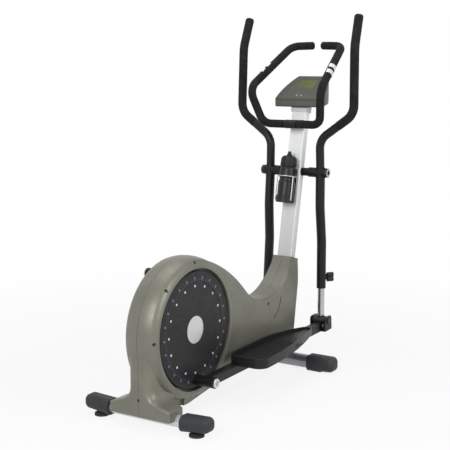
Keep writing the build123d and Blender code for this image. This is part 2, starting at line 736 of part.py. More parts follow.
def transport_wheel() -> Part:
    """Right transport wheel with a rounded tread and a dished side."""
    x, z = wheel_centre()
    low, high = wheel_span()
    wheel = cross_ring(WHEEL_RADIUS, WHEEL_AXLE_RADIUS + RUNNING_GAP, (low, high), x, z)
    rims = wheel.edges().filter_by(GeomType.CIRCLE).filter_by(lambda e: e.radius > WHEEL_RADIUS - 1)
    return fillet(rims, radius=3)


# Main frame

def main_frame() -> Part:
    """Welded frame: beam, bearing post and brace, flywheel fork, mast stub and tube saddles."""
    top = BEAM_BOTTOM_Z + BEAM_HEIGHT
    half = BEAM_HALF_WIDTH
    beam = place_box((BEAM_REAR_X, BEAM_FRONT_X), (-half, half), (BEAM_BOTTOM_Z, top))
    inner = half - BEAM_WALL
    beam -= place_box(
        (BEAM_REAR_X + BEAM_WALL, BEAM_FRONT_X - BEAM_WALL), (-inner, inner),
        (BEAM_BOTTOM_Z + BEAM_WALL, top - BEAM_WALL),
    )
    frame = beam
    rear = (REAR_TUBE_RADIUS, REAR_STABILIZER_X, REAR_STABILIZER_Z)
    front = (FRONT_TUBE_RADIUS, FRONT_STABILIZER_X, FRONT_STABILIZER_Z)
    for radius, x, z in (rear, front):
        block_x = (x - SADDLE_BLOCK_LENGTH / 2, x + SADDLE_BLOCK_LENGTH / 2)
        block = place_box(block_x, (-half, half), (z, BEAM_BOTTOM_Z))
        frame += block - cross_rod(radius, (-half - 1, half + 1), x, z)
    reach = POST_SIZE / 2
    post = place_box((CRANK_X - reach, CRANK_X + reach), (POST_Y - reach, POST_Y + reach), (top, CRANK_Z))
    wall = reach - BEAM_WALL
    post -= place_box((CRANK_X - wall, CRANK_X + wall), (POST_Y - wall, POST_Y + wall), (top, CRANK_Z))
    brace_top = CRANK_Z - BEARING_SHELL_RADIUS - BRACE_SIZE
    brace_face = polygon(
        (BRACE_FOOT_X, top), (BRACE_FOOT_X - BRACE_SIZE * 1.5, top),
        (CRANK_X + reach, brace_top), (CRANK_X + reach, brace_top + BRACE_SIZE * 1.4),
    )
    brace = Pos(0, POST_Y, 0) * side_slab(brace_face, BRACE_SIZE / 2)
    shell = cross_rod(BEARING_SHELL_RADIUS, BEARING_SHELL_Y, CRANK_X, CRANK_Z)
    bore_y = (BEARING_SHELL_Y[0] - 1, BEARING_SHELL_Y[1] + 1)
    frame = frame + post + brace + shell - cross_rod(BEARING_RADIUS, bore_y, CRANK_X, CRANK_Z)
    frame += flywheel_fork(top) + idler_post(top)
    frame += mast_stub(top)
    return frame


def flywheel_fork(top: float) -> Part:
    """Two plates that carry the flywheel shaft."""
    plates = Part()
    for start in FORK_Y:
        y = (start, start + FORK_PLATE)
        foot = place_box((FLYWHEEL_X - 45, FLYWHEEL_X + 45), y, (top, top + FORK_PLATE))
        cheek = polygon(
            (FLYWHEEL_X - 45, top), (FLYWHEEL_X + 45, top),
            (FLYWHEEL_X + 16, FLYWHEEL_Z), (FLYWHEEL_X - 16, FLYWHEEL_Z),
        )
        plate = Pos(0, start + FORK_PLATE / 2, 0) * side_slab(cheek, FORK_PLATE / 2)
        plates += foot + plate + cross_rod(16, y, FLYWHEEL_X, FLYWHEEL_Z)
    base_y = (FORK_Y[0], FORK_Y[1] + FORK_PLATE)
    plates += place_box((FLYWHEEL_X - 45, FLYWHEEL_X + 45), base_y, (top, top + FORK_PLATE))
    bore = cross_rod(FLYWHEEL_SHAFT_RADIUS + RUNNING_GAP, (-100, 100), FLYWHEEL_X, FLYWHEEL_Z)
    return plates - bore


def belt_line_z(x: float) -> float:
    """Height of the belt's lower outer face at a place between the pulleys."""
    run = FLYWHEEL_X - CRANK_X
    drop = CRANK_Z - FLYWHEEL_Z
    span = hypot(run, drop)
    tilt = asin((DRIVE_PULLEY_RADIUS - FLYWHEEL_PULLEY_RADIUS) / span) - atan2(drop, run)
    outer = DRIVE_PULLEY_RADIUS + FREE_GAP + BELT_THICKNESS
    foot = (CRANK_X + outer * sin(tilt), CRANK_Z - outer * cos(tilt))
    return foot[1] + (x - foot[0]) * tan(tilt)


def idler_centre() -> tuple:
    """Side-view centre of the idler, under the belt's lower run."""
    run = FLYWHEEL_X - CRANK_X
    drop = CRANK_Z - FLYWHEEL_Z
    tilt = asin((DRIVE_PULLEY_RADIUS - FLYWHEEL_PULLEY_RADIUS) / hypot(run, drop)) - atan2(drop, run)
    return (IDLER_X, belt_line_z(IDLER_X) - (IDLER_RADIUS + FREE_GAP) / cos(tilt))


def idler_post(top: float) -> Part:
    """Plate and stub axle that hold the idler against the belt."""
    x, z = idler_centre()
    y = (BELT_Y[0] - FREE_GAP - FORK_PLATE, BELT_Y[0] - FREE_GAP)
    plate = place_box((x - 16, x + 16), y, (top - BEAM_WALL, z)) + cross_rod(16, y, x, z)
    return plate + cross_rod(IDLER_AXLE_RADIUS, (y[0], BELT_Y[1] + 2), x, z)


def mast_stub(top: float) -> Part:
    """Inner tube that the mast slides down over, with its foot on the beam."""
    low = mast_height(top - BEAM_WALL)
    outer = mast_section(MAST_WALL + SLIP_GAP)
    inner = mast_section(MAST_WALL + SLIP_GAP + BEAM_WALL)
    stub = Pos(0, 0, low - MAST_DEPTH) * extrude(outer - inner, amount=STUB_LENGTH + MAST_DEPTH)
    below = place_box((-1000, 1000), (-100, 100), (0, top - BEAM_WALL))
    return set_mast(stub) - below


def mast_section(inset: float) -> Sketch:
    """Rounded rectangle of the mast, drawn in by an inset, its rear face on the origin."""
    size = (MAST_DEPTH - 2 * inset, MAST_WIDTH - 2 * inset)
    corner = max(MAST_CORNER - inset, 1.0)
    return Pos(MAST_DEPTH / 2, 0) * RectangleRounded(size[0], size[1], corner)


# Crank and drive

def crank_axle() -> Part:
    """Axle through the bearings, from crank arm to crank arm."""
    return cross_rod(AXLE_RADIUS, (-CRANK_ARM_Y[1], CRANK_ARM_Y[1]), CRANK_X, CRANK_Z)


def crank_bearings() -> Part:
    """Two bearings in the frame's bearing shell."""
    inner = AXLE_RADIUS + RUNNING_GAP
    low, high = BEARING_SHELL_Y
    near = cross_ring(BEARING_RADIUS, inner, (low, low + BEARING_WIDTH), CRANK_X, CRANK_Z)
    far = cross_ring(BEARING_RADIUS, inner, (high - BEARING_WIDTH, high), CRANK_X, CRANK_Z)
    return Compound(children=[near, far])


def crank_arm(right: bool) -> Part:
    """Crank arm behind a disc with its pin collar through the disc."""
    side = -1 if right else 1
    y = tuple(sorted((side * CRANK_ARM_Y[0], side * CRANK_ARM_Y[1])))
    pin = crank_pin(right)
    half = CRANK_ARM_WIDTH / 2
    bar = Pos(CRANK_RADIUS / 2, 0) * Rectangle(CRANK_RADIUS, CRANK_ARM_WIDTH)
    face = Circle(half) + bar + Pos(CRANK_RADIUS, 0) * Circle(half * 0.9)
    turn = degrees(atan2(pin[1] - CRANK_Z, pin[0] - CRANK_X))
    arm = extrude(Plane.XZ * (Rot(0, 0, turn) * face), amount=(y[1] - y[0]) / 2, both=True)
    arm = Pos(CRANK_X, (y[0] + y[1]) / 2, CRANK_Z) * arm
    arm -= cross_rod(AXLE_RADIUS, (y[0] - 1, y[1] + 1), CRANK_X, CRANK_Z)
    pin_y = tuple(sorted((side * CRANK_ARM_Y[0], side * PIN_END_Y)))
    return arm + cross_rod(PIN_COLLAR_RADIUS, pin_y, pin[0], pin[1])


def disc(right: bool) -> Part:
    """Cover disc with a raised rim band, bored for the pin collar."""
    low, high = DISC_Y
    face = make_face([
        Line((0, low), (DISC_RADIUS, low)),
        Line((DISC_RADIUS, low), (DISC_RADIUS, high - DISC_EDGE)),
        Line((DISC_RADIUS, high - DISC_EDGE), (DISC_RADIUS - DISC_EDGE, high)),
        Line((DISC_RADIUS - DISC_EDGE, high), (DISC_STEP_RADIUS, high)),
        Line((DISC_STEP_RADIUS, high), (DISC_STEP_RADIUS - DISC_STEP, high - DISC_STEP)),
        Line((DISC_STEP_RADIUS - DISC_STEP, high - DISC_STEP), (0, high - DISC_STEP)),
        Line((0, high - DISC_STEP), (0, low)),
    ])
    cover = revolve(face, axis=Axis.Y)
    cover = Pos(CRANK_X, 0, CRANK_Z) * (left_of(cover) if right else cover)
    pin = crank_pin(right)
    span = (-DISC_Y[1] - 1, -DISC_Y[0] + 1) if right else (DISC_Y[0] - 1, DISC_Y[1] + 1)
    return cover - cross_rod(PIN_COLLAR_RADIUS, span, pin[0], pin[1])


def disc_badges() -> Part:
    """Bare domed plate at the middle of each disc."""
    seat = DISC_Y[1] - DISC_STEP
    face = make_face([
        Line((0, seat), (BADGE_RADIUS, seat)),
        Line((BADGE_RADIUS, seat), (BADGE_RADIUS, seat + 1)),
        TangentArc((0, seat + BADGE_HEIGHT), (BADGE_RADIUS, seat + 1), tangent=(1, 0)),
        Line((0, seat + BADGE_HEIGHT), (0, seat)),
    ])
    badge = Pos(CRANK_X, 0, CRANK_Z) * revolve(face, axis=Axis.Y)
    return Compound(children=[badge, left_of(badge)])


def drive_pulley() -> Part:
    """Large belt pulley with a rim, a webbed wheel and lightening holes."""
    web = (BELT_Y[0] + 4, BELT_Y[1] - 4)
    rim = cross_ring(DRIVE_PULLEY_RADIUS, DRIVE_PULLEY_RADIUS - 10, BELT_Y)
    wheel = cross_rod(DRIVE_PULLEY_RADIUS - 5, web)
    hub = cross_rod(AXLE_RADIUS * 2.4, BELT_Y)
    wheel = wheel + rim + hub
    holes = PolarLocations(DRIVE_PULLEY_RADIUS * 0.58, 6)
    for place in holes:
        spot = place.position
        wheel -= cross_rod(DRIVE_PULLEY_RADIUS * 0.2, (0, 60), spot.X, spot.Y)
    wheel -= cross_rod(AXLE_RADIUS, (0, 60))
    return Pos(CRANK_X, 0, CRANK_Z) * wheel


def drive_belt() -> Part:
    """Flat belt round the drive pulley and the flywheel pulley."""
    inner_big = DRIVE_PULLEY_RADIUS + FREE_GAP
    inner_small = FLYWHEEL_PULLEY_RADIUS + FREE_GAP
    outer = belt_loop(inner_big + BELT_THICKNESS, inner_small + BELT_THICKNESS)
    inner = belt_loop(inner_big, inner_small)
    middle = (BELT_Y[0] + BELT_Y[1]) / 2
    half = (BELT_Y[1] - BELT_Y[0]) / 2 - 1
    return Pos(0, middle, 0) * side_slab(outer - inner, half)


def belt_loop(big: float, small: float) -> Sketch:
    """Face inside a belt line round two circles."""
    run = FLYWHEEL_X - CRANK_X
    drop = CRANK_Z - FLYWHEEL_Z
    tilt = degrees(atan2(-drop, run))
    open_angle = degrees(acos((big - small) / hypot(run, drop)))
    crank = (CRANK_X, CRANK_Z)
    wheel = (FLYWHEEL_X, FLYWHEEL_Z)
    up = tilt + open_angle
    down = tilt - open_angle
    return make_face([
        ThreePointArc(polar(crank, big, up), polar(crank, big, tilt + 180), polar(crank, big, down)),
        Line(polar(crank, big, down), polar(wheel, small, down)),
        ThreePointArc(polar(wheel, small, down), polar(wheel, small, tilt), polar(wheel, small, up)),
        Line(polar(wheel, small, up), polar(crank, big, up)),
    ])


def flywheel() -> Part:
    """Heavy rim on a thinner web with a hub."""
    low, high = FLYWHEEL_Y
    face_depth = (high - low) * 0.25
    wheel = cross_rod(FLYWHEEL_RADIUS, FLYWHEEL_Y)
    for y in ((low, low + face_depth), (high - face_depth, high)):
        wheel -= cross_ring(FLYWHEEL_RADIUS * 0.7, FLYWHEEL_SHAFT_RADIUS * 2.2, y)
    wheel -= cross_rod(FLYWHEEL_SHAFT_RADIUS, (low - 1, high + 1))
    return Pos(FLYWHEEL_X, 0, FLYWHEEL_Z) * wheel


def flywheel_shaft() -> Part:
    """Shaft through the fork with the small belt pulley turned on it."""
    shaft = cross_rod(FLYWHEEL_SHAFT_RADIUS, (FORK_Y[0] - 2, BELT_Y[1] + 3))
    return Pos(FLYWHEEL_X, 0, FLYWHEEL_Z) * (shaft + cross_rod(FLYWHEEL_PULLEY_RADIUS, BELT_Y))


def idler_pulley() -> Part:
    """Idler roller that keeps the belt tight."""
    x, z = idler_centre()
    return cross_ring(IDLER_RADIUS, IDLER_AXLE_RADIUS + RUNNING_GAP, BELT_Y, x, z)


def magnetic_brake() -> Part:
    """Yoke with magnets beside the flywheel's rim, and the motor that sets it."""
    low, high = FLYWHEEL_Y
    thickness, depth, height = MAGNET_SIZE
    top = BEAM_BOTTOM_Z + BEAM_HEIGHT
    face_x = FLYWHEEL_X + FLYWHEEL_RADIUS + MAGNET_GAP
    yoke_y = (low - 2, high + 2)
    yoke = place_box((face_x + thickness, face_x + thickness + 5), yoke_y, (top, FLYWHEEL_Z + height))
    foot = place_box((face_x + thickness, face_x + thickness + 34), yoke_y, (top, top + 5))
    solids = [yoke + foot]
    for step in (-1, 0, 1):
        z = FLYWHEEL_Z + step * (height + 3) - height / 2
        if z > top + 5:
            magnet_y = ((low + high - depth) / 2, (low + high + depth) / 2)
            solids.append(place_box((face_x, face_x + thickness), magnet_y, (z, z + height)))
    motor_x = (face_x + thickness + 36, face_x + thickness + 36 + MOTOR_SIZE[0])
    motor = place_box(motor_x, (-MOTOR_SIZE[1] / 2, MOTOR_SIZE[1] / 2), (top, top + MOTOR_SIZE[2]))
    solids.append(fillet(motor.edges().filter_by(Axis.Z), radius=5))
    return Compound(children=solids)


# Mast and pivot

def mast() -> Part:
    """Rectangular mast tube, bored for the pivot shaft."""
    low = mast_height(MAST_FOOT_Z)
    section = mast_section(0) - mast_section(MAST_WALL)
    tube = Pos(0, 0, low) * extrude(section, amount=mast_height(MAST_TOP_Z) - low)
    bore = cross_rod(PIVOT_SHAFT_RADIUS, (-MAST_WIDTH, MAST_WIDTH), PIVOT_X, PIVOT_Z)
    return set_mast(tube) - bore


def pivot_shaft() -> Part:
    """Shaft across the mast that both swing arms turn on."""
    end = SLEEVE_Y[1] + FREE_GAP + 2
    return cross_rod(PIVOT_SHAFT_RADIUS, (-end, end), PIVOT_X, PIVOT_Z)


def pivot_covers() -> Part:
    """Spacer tube on the shaft between the mast and each arm."""
    y = (-SLEEVE_Y[0] + FREE_GAP, -MAST_WIDTH / 2)
    cover = cross_ring(COVER_RADIUS, PIVOT_SHAFT_RADIUS, y, PIVOT_X, PIVOT_Z)
    return Compound(children=[cover, left_of(cover)])


def pivot_end_caps() -> Part:
    """Bright ring with a hexagon socket on each end of the shaft."""
    inner_y = SLEEVE_Y[1] + FREE_GAP
    y = (-inner_y - END_CAP_LENGTH, -inner_y)
    ring = cross_rod(END_CAP_RADIUS, y)
    ring = fillet(ring.faces().sort_by(Axis.Y)[0].edges(), radius=2)
    ring -= cross_rod(PIVOT_SHAFT_RADIUS, (-inner_y - 2, -inner_y + 1))
    socket = extrude(Plane.XZ * RegularPolygon(END_CAP_HEX, 6), amount=END_CAP_LENGTH * 0.6)
    ring -= Pos(0, -inner_y - END_CAP_LENGTH * 0.45, 0) * socket
    cap = Pos(PIVOT_X, 0, PIVOT_Z) * ring
    return Compound(children=[cap, left_of(cap)])


# Swing arms

def arm_upper_points() -> list:
    """Centre line of the right arm above the pivot."""
    elbow = (ARM_ELBOW[0], -ARM_Y, ARM_ELBOW[1])
    bends = [(x, -y, z) for x, y, z in (ARM_SHOULDER, ARM_KNUCKLE, ARM_TIP)]
    return [(0, -ARM_Y, 0), elbow] + bends


def grip_points() -> list:
    """Centre line of the right foam grip."""
    _, elbow, shoulder, knuckle, tip = arm_upper_points()
    return [along(shoulder, elbow, GRIP_START), shoulder, knuckle, tip]


def swing_arm() -> Part:
    """Right swing arm: lower tube, pivot sleeve, bent upper tube and the core of the grip."""
    lower_points = [
        (0, -ARM_Y, SLEEVE_RADIUS), (0, -ARM_Y, ARM_JOG_TOP),
        (ARM_JOG, -ARM_Y, ARM_JOG_FOOT), (ARM_JOG, -ARM_Y, ARM_FOOT_Z),
    ]
    lower = bent_rod(lower_points, [ARM_JOG_BEND] * 2, ARM_LOWER_RADIUS)
    upper_points = arm_upper_points()
    elbow = upper_points[1]
    stop, shoulder, knuckle, tip = grip_points()
    upper = bent_tube(upper_points[:2] + [stop], [ARM_ELBOW_BEND], ARM_RADIUS, ARM_WALL)
    core_start = along(stop, elbow, ARM_WALL)
    core_end = along(tip, knuckle, GRIP_END_THICKNESS)
    core = bent_tube([core_start, shoulder, knuckle, core_end], GRIP_BENDS, GRIP_CORE_RADIUS, ARM_WALL)
    plug = bent_rod([core_start, stop], [], ARM_RADIUS - ARM_WALL) - bent_rod(
        [core_start, stop], [], GRIP_CORE_RADIUS - ARM_WALL
    )
    sleeve = cross_rod(SLEEVE_RADIUS, (-SLEEVE_Y[1], -SLEEVE_Y[0]))
    boss_y = (-ARM_LOWER_RADIUS - KNOB_BOSS_LENGTH, -ARM_LOWER_RADIUS + 5)
    knob_boss = set_knob(cross_rod(KNOB_BOSS_RADIUS, boss_y))
    arm = lower + upper + sleeve + core + plug + knob_boss
    arm -= cross_rod(SLEEVE_BORE_RADIUS, (-SLEEVE_Y[1] - 1, -SLEEVE_Y[0] + 1))
    bore_top = ARM_FOOT_Z + LOWER_TUBE_INSERT + REACH_TRAVEL + 2
    bore_radius = LOWER_TUBE_RADIUS + RUNNING_GAP
    bore_length = bore_top - ARM_FOOT_Z + 1
    arm -= Pos(ARM_JOG, -ARM_Y, (bore_top + ARM_FOOT_Z - 1) / 2) * Cylinder(bore_radius, bore_length)
    stem_y = (boss_y[0] - 1, 0)
    return arm - set_knob(cross_rod(KNOB_STEM_RADIUS + RUNNING_GAP, stem_y))


def set_knob(shape: Part) -> Part:
    """Piece drawn along -Y, turned forward on the lower end of the right arm."""
    return Pos(ARM_JOG, -ARM_Y, KNOB_Z) * Rot(0, 0, KNOB_TURN) * shape


def pivot_bushes() -> Part:
    """Two plain bushes in the right arm's sleeve."""
    inner = PIVOT_SHAFT_RADIUS + RUNNING_GAP
    low, high = -SLEEVE_Y[1], -SLEEVE_Y[0]
    outer_bush = cross_ring(SLEEVE_BORE_RADIUS, inner, (low, low + BUSH_LENGTH))
    inner_bush = cross_ring(SLEEVE_BORE_RADIUS, inner, (high - BUSH_LENGTH, high))
    return Compound(children=[outer_bush, inner_bush])


def swing_grip() -> Part:
    """Right foam grip, closed and rounded at its tip."""
    points = grip_points()
    start, shoulder, knuckle, tip = points
    foam = bent_rod(points, GRIP_BENDS, GRIP_RADIUS)
    foam = fillet(foam.faces().sort_by(Axis.Z)[-1].edges(), radius=GRIP_END_ROUND)
    core_end = along(tip, knuckle, GRIP_END_THICKNESS)
    return foam - bent_rod([start, shoulder, knuckle, core_end], GRIP_BENDS, GRIP_CORE_RADIUS)


def lower_tube() -> Part:
    """Right bright lower tube with the barrel of the front joint."""
    top = ARM_FOOT_Z + LOWER_TUBE_INSERT
    length = top + ARM_LENGTH
    rod = Pos(0, 0, (top - ARM_LENGTH) / 2) * Cylinder(LOWER_TUBE_RADIUS, length)
    hollow = Pos(0, 0, (top - ARM_LENGTH) / 2 + BARREL_RADIUS + 5)
    rod -= hollow * Cylinder(LOWER_TUBE_RADIUS - LOWER_TUBE_WALL, length)
    span = (-BARREL_HALF_LENGTH, BARREL_HALF_LENGTH)
    tube = rod + cross_rod(BARREL_RADIUS, span, 0, -ARM_LENGTH)
    bore = (span[0] - 1, span[1] + 1)
    tube -= cross_rod(CLEVIS_PIN_RADIUS + RUNNING_GAP, bore, 0, -ARM_LENGTH)
    return Pos(ARM_JOG, -ARM_Y, 0) * tube


def clamp_knob() -> Part:
    """Right clamp knob: three lobes on a stem that presses the lower tube."""
    seat = -ARM_LOWER_RADIUS - KNOB_BOSS_LENGTH - FREE_GAP
    lobes = Circle(KNOB_RADIUS * 0.62)
    for place in PolarLocations(KNOB_RADIUS * 0.52, KNOB_LOBES):
        lobes += place * Circle(KNOB_RADIUS * 0.48)
    lobes = fillet(lobes.vertices(), radius=KNOB_RADIUS * 0.18)
    body = extrude(Plane.XZ * lobes, amount=KNOB_LENGTH)
    body = fillet(body.faces().sort_by(Axis.Y)[0].edges(), radius=KNOB_EDGE)
    body = Pos(0, seat, 0) * body
    stem = cross_rod(KNOB_STEM_RADIUS, (seat - 1, -LOWER_TUBE_RADIUS - FREE_GAP))
    return set_knob(body + stem)


# Pedal arms and pedals

def pedal_arm() -> Part:
    """Right pedal arm: crank boss, square tube and the clevis of the front joint."""
    start = (-PEDAL_ARM_LENGTH, BAR_RISE)
    end = (BAR_FRONT_X, -BAR_DROP)
    length = hypot(end[0] - start[0], end[1] - start[1])
    tilt = degrees(atan2(end[1] - start[1], end[0] - start[0]))
    section = RectangleRounded(BAR_SIZE, BAR_SIZE, BAR_CORNER)
    hollow = RectangleRounded(BAR_SIZE - 2 * BAR_WALL, BAR_SIZE - 2 * BAR_WALL, BAR_CORNER - BAR_WALL)
    bar = extrude(Plane.YZ * (section - hollow), amount=length)
    bar = Pos(start[0], -ARM_Y, start[1]) * Rot(0, -tilt, 0) * bar
    boss = cross_rod(BOSS_RADIUS, (-BOSS_END_Y, -BOSS_START_Y), -PEDAL_ARM_LENGTH, 0)
    floor_x = (-CLEVIS_HALF_LENGTH, CLEVIS_HALF_LENGTH)
    outer = CLEVIS_HALF_WIDTH
    floor_y = (-ARM_Y - outer, -ARM_Y + outer)
    clevis = place_box(floor_x, floor_y, (CLEVIS_BOTTOM, CLEVIS_BOTTOM + CLEVIS_FLOOR))
    ear_face = polygon(
        (-CLEVIS_HALF_LENGTH, CLEVIS_BOTTOM), (CLEVIS_HALF_LENGTH, CLEVIS_BOTTOM),
        (CLEVIS_HALF_LENGTH, CLEVIS_TOP), (-CLEVIS_HALF_LENGTH, CLEVIS_TOP),
    )
    tops = ear_face.vertices().group_by(Axis.Y)[-1]
    ear_face = fillet(tops, radius=CLEVIS_HALF_LENGTH * 0.45)
    for side in (-1, 1):
        y = -ARM_Y + side * (outer - CLEVIS_EAR / 2)
        clevis += Pos(0, y, 0) * side_slab(ear_face, CLEVIS_EAR / 2)
    arm = bar + boss + clevis
    arm -= cross_rod(BOSS_BORE_RADIUS, (-BOSS_END_Y - 20, -BOSS_START_Y + 1), -PEDAL_ARM_LENGTH, 0)
    return arm - cross_rod(CLEVIS_PIN_RADIUS, (floor_y[0] - 1, floor_y[1] + 1))


def pedal_hardware() -> Part:
    """Right clevis pin, and the axle bolt and nut of the crank boss."""
    outer = CLEVIS_HALF_WIDTH
    head = CLEVIS_PIN_RADIUS * 1.5
    span = (-ARM_Y - outer - 5, -ARM_Y + outer + 5)
    pin = cross_rod(CLEVIS_PIN_RADIUS, span)
    pin += cross_rod(head, (span[0], span[0] + 5)) + cross_rod(head, (span[1] - 5, span[1]))
    end = -BOSS_END_Y - NUT_LENGTH
    nut = cross_rod(NUT_RADIUS, (end, -BOSS_END_Y))
    nut = fillet(nut.faces().sort_by(Axis.Y)[0].edges(), radius=2)
    nut += cross_rod(BOSS_BORE_RADIUS - SLIP_GAP, (-BOSS_END_Y, -BOSS_START_Y))
    socket = extrude(Plane.XZ * RegularPolygon(NUT_HEX, 6), amount=NUT_LENGTH)
    nut -= Pos(0, end + NUT_LENGTH * 0.7, 0) * socket
    nut = Pos(-PEDAL_ARM_LENGTH, 0, 0) * nut
    return Compound(children=[pin, nut])


def bar_tilt() -> float:
    """Slope of the bar in the pedal arm's own frame, in degrees."""
    return degrees(atan2(-BAR_DROP - BAR_RISE, BAR_FRONT_X + PEDAL_ARM_LENGTH))


def bar_top_z(x: float) -> float:
    """Top of the pedal arm's bar at a distance from the front joint."""
    tilt = radians(bar_tilt())
    return BAR_RISE + (x + PEDAL_ARM_LENGTH) * tan(tilt) + BAR_SIZE / 2 / cos(tilt)


def pedal() -> Part:
    """Right pedal tray with a raised rim, a tapered toe, a ribbed tread and a skirt round the bar."""
    height = PEDAL_RIM + PEDAL_SKIRT
    tray = Pos(0, 0, -PEDAL_SKIRT) * extrude(pedal_plan(0), amount=height)
    front = PEDAL_LENGTH / 2 + 1
    fall = polygon(
        (front - PEDAL_FALL_LENGTH, PEDAL_RIM), (front, PEDAL_RIM - PEDAL_TOE_FALL), (front, PEDAL_RIM + 1),
        (front - PEDAL_FALL_LENGTH, PEDAL_RIM + 1),
    )
    tray -= Pos(0, -PEDAL_TOE_Y, 0) * side_slab(fall, PEDAL_OUTER_Y)
    well = extrude(pedal_plan(PEDAL_WALL), amount=height)
    tray -= Pos(0, 0, PEDAL_FLOOR) * well
    tray -= Pos(0, 0, -height) * well
    channel = BAR_SIZE / 2 + FREE_GAP
    tray -= place_box((-PEDAL_LENGTH, PEDAL_LENGTH), (-ARM_Y - channel, -ARM_Y + channel), (-height, 0))
    tread_y = (PEDAL_OUTER_Y + PEDAL_INNER_Y) / 2
    pitch = (PEDAL_OUTER_Y - PEDAL_INNER_Y - 2 * PEDAL_WALL) / (TREAD_COUNT + 1)
    tread_x = -PEDAL_LENGTH / 2 + PEDAL_HEEL_CORNER + TREAD_LENGTH / 2
    for step in range(TREAD_COUNT):
        y = (step - (TREAD_COUNT - 1) / 2) * pitch - tread_y
        rib = SlotOverall(TREAD_LENGTH, TREAD_WIDTH)
        tray += Pos(tread_x, y, PEDAL_FLOOR) * extrude(rib, amount=TREAD_HEIGHT)
    x = PEDAL_FRONT_X - PEDAL_LENGTH / 2
    return Pos(x, 0, bar_top_z(x)) * Rot(0, -bar_tilt(), 0) * tray


def pedal_plan(inset: float) -> Sketch:
    """Plan of the right pedal about its mid length, drawn in by an inset."""
    front = PEDAL_LENGTH / 2
    heel = -front
    corner = PEDAL_HEEL_CORNER
    toe_x = front - PEDAL_TOE_ROUND
    toe_in = (toe_x, -PEDAL_TOE_Y + PEDAL_TOE_HALF_WIDTH)
    toe_out = (toe_x, -PEDAL_TOE_Y - PEDAL_TOE_HALF_WIDTH)
    inner_bend = (front - PEDAL_INNER_BEND, -PEDAL_INNER_Y)
    outer_bend = (heel + corner, -PEDAL_OUTER_Y)
    outline = [
        TangentArc((heel + corner, -PEDAL_INNER_Y), (heel, -PEDAL_INNER_Y - corner), tangent=(-1, 0)),
        Line((heel, -PEDAL_INNER_Y - corner), (heel, -PEDAL_OUTER_Y + corner)),
        TangentArc((heel, -PEDAL_OUTER_Y + corner), outer_bend, tangent=(0, -1)),
        TangentArc(outer_bend, toe_out, tangent=(1, 0)),
        ThreePointArc(toe_out, (front, -PEDAL_TOE_Y), toe_in),
        TangentArc(inner_bend, toe_in, tangent=(1, 0)),
        Line(inner_bend, (heel + corner, -PEDAL_INNER_Y)),
    ]
    plan = make_face(outline)
    return offset(plan, amount=-inset, kind=Kind.INTERSECTION) if inset else plan


# Fixed handlebar

def handlebar_points() -> list:
    """Centre line of the handlebar from the right end to the left end."""
    right = [(x, -y, z) for x, y, z in (BAR_END, REACH_CORNER, HAND_CORNER, CROSS_CORNER)]
    left = [(x, -y, z) for x, y, z in reversed(right)]
    return right + left


def handlebar() -> Part:
    """Bent handlebar tube, one piece from end to end, inside its grips."""
    points = handlebar_points()
    bends = [REACH_BEND, HAND_BEND, CROSS_BEND, CROSS_BEND, HAND_BEND, REACH_BEND]
    points[0] = along(points[0], points[1], GRIP_END_THICKNESS)
    points[-1] = along(points[-1], points[-2], GRIP_END_THICKNESS)
    return bent_tube(points, bends, BAR_TUBE_RADIUS, BAR_TUBE_WALL)


def handlebar_grip() -> Part:
    """Right foam grip of the handlebar, rounded at its end."""
    end, reach, hand, cross = handlebar_points()[:4]
    start = (cross[0], -CLAMP_HALF_WIDTH - BAR_GRIP_START, cross[2])
    bends = [CROSS_BEND, HAND_BEND, REACH_BEND]
    foam = bent_rod([start, cross, hand, reach, end], bends, BAR_GRIP_RADIUS)
    tip = foam.faces().filter_by(GeomType.PLANE).sort_by(Axis.X)[-1]
    foam = fillet(tip.edges(), radius=BAR_END_ROUND)
    core_end = along(end, reach, GRIP_END_THICKNESS)
    core = bent_rod([start, cross, hand, reach, core_end], bends, BAR_TUBE_RADIUS)
    return foam - core


def handlebar_clamp() -> Part:
    """Clamp round the cross tube with a neck to the mast's rear face."""
    x, _, z = CROSS_CORNER
    span = (-CLAMP_HALF_WIDTH, CLAMP_HALF_WIDTH)
    neck_top = z + CLAMP_NECK / 2
    neck_foot = z - CLAMP_NECK / 2
    neck = polygon(
        (x, neck_foot), (mast_rear_x(neck_foot), neck_foot), (mast_rear_x(neck_top), neck_top), (x, neck_top)
    )
    clamp = cross_rod(CLAMP_RADIUS, span, x, z) + side_slab(neck, CLAMP_HALF_WIDTH)
    rims = clamp.edges().filter_by(lambda e: abs(abs(e.center().Y) - CLAMP_HALF_WIDTH) < 0.1)
    rims = rims.filter_by(lambda e: e.center().X < x + CLAMP_RADIUS)
    clamp = fillet(rims, radius=2)
    return clamp - cross_rod(BAR_TUBE_RADIUS, (span[0] - 1, span[1] + 1), x, z)


def pulse_sensors() -> Part:
    """Two sensor plates on the outer side of each hand grip."""
    _, reach, hand, _ = handlebar_points()[:4]
    direction = (Vector(*reach) - Vector(*hand)).normalized()
    plates = []
    for share in SENSOR_PLACES:
        centre = Vector(*hand) + (Vector(*reach) - Vector(*hand)) * share
        plane = Plane(origin=centre - direction * (SENSOR_LENGTH / 2), x_dir=(0, -1, 0.4), z_dir=direction)
        outer = BAR_GRIP_RADIUS + SENSOR_THICKNESS
        ring = Circle(outer) - Circle(BAR_GRIP_RADIUS)
        half = Pos(outer * 0.65, 0) * Rectangle(outer, outer * 2)
        plate = extrude(plane * (ring & half), amount=SENSOR_LENGTH)
        plates += [plate, left_of(plate)]
    return Compound(children=plates)


# Console

def console_slope() -> float:
    """Slope of the console's face from level, in degrees."""
    rise = CONSOLE_TOP[1] - CONSOLE_LIP_Z[1]
    return degrees(atan2(rise, CONSOLE_TOP[0] - CONSOLE_LIP_X))


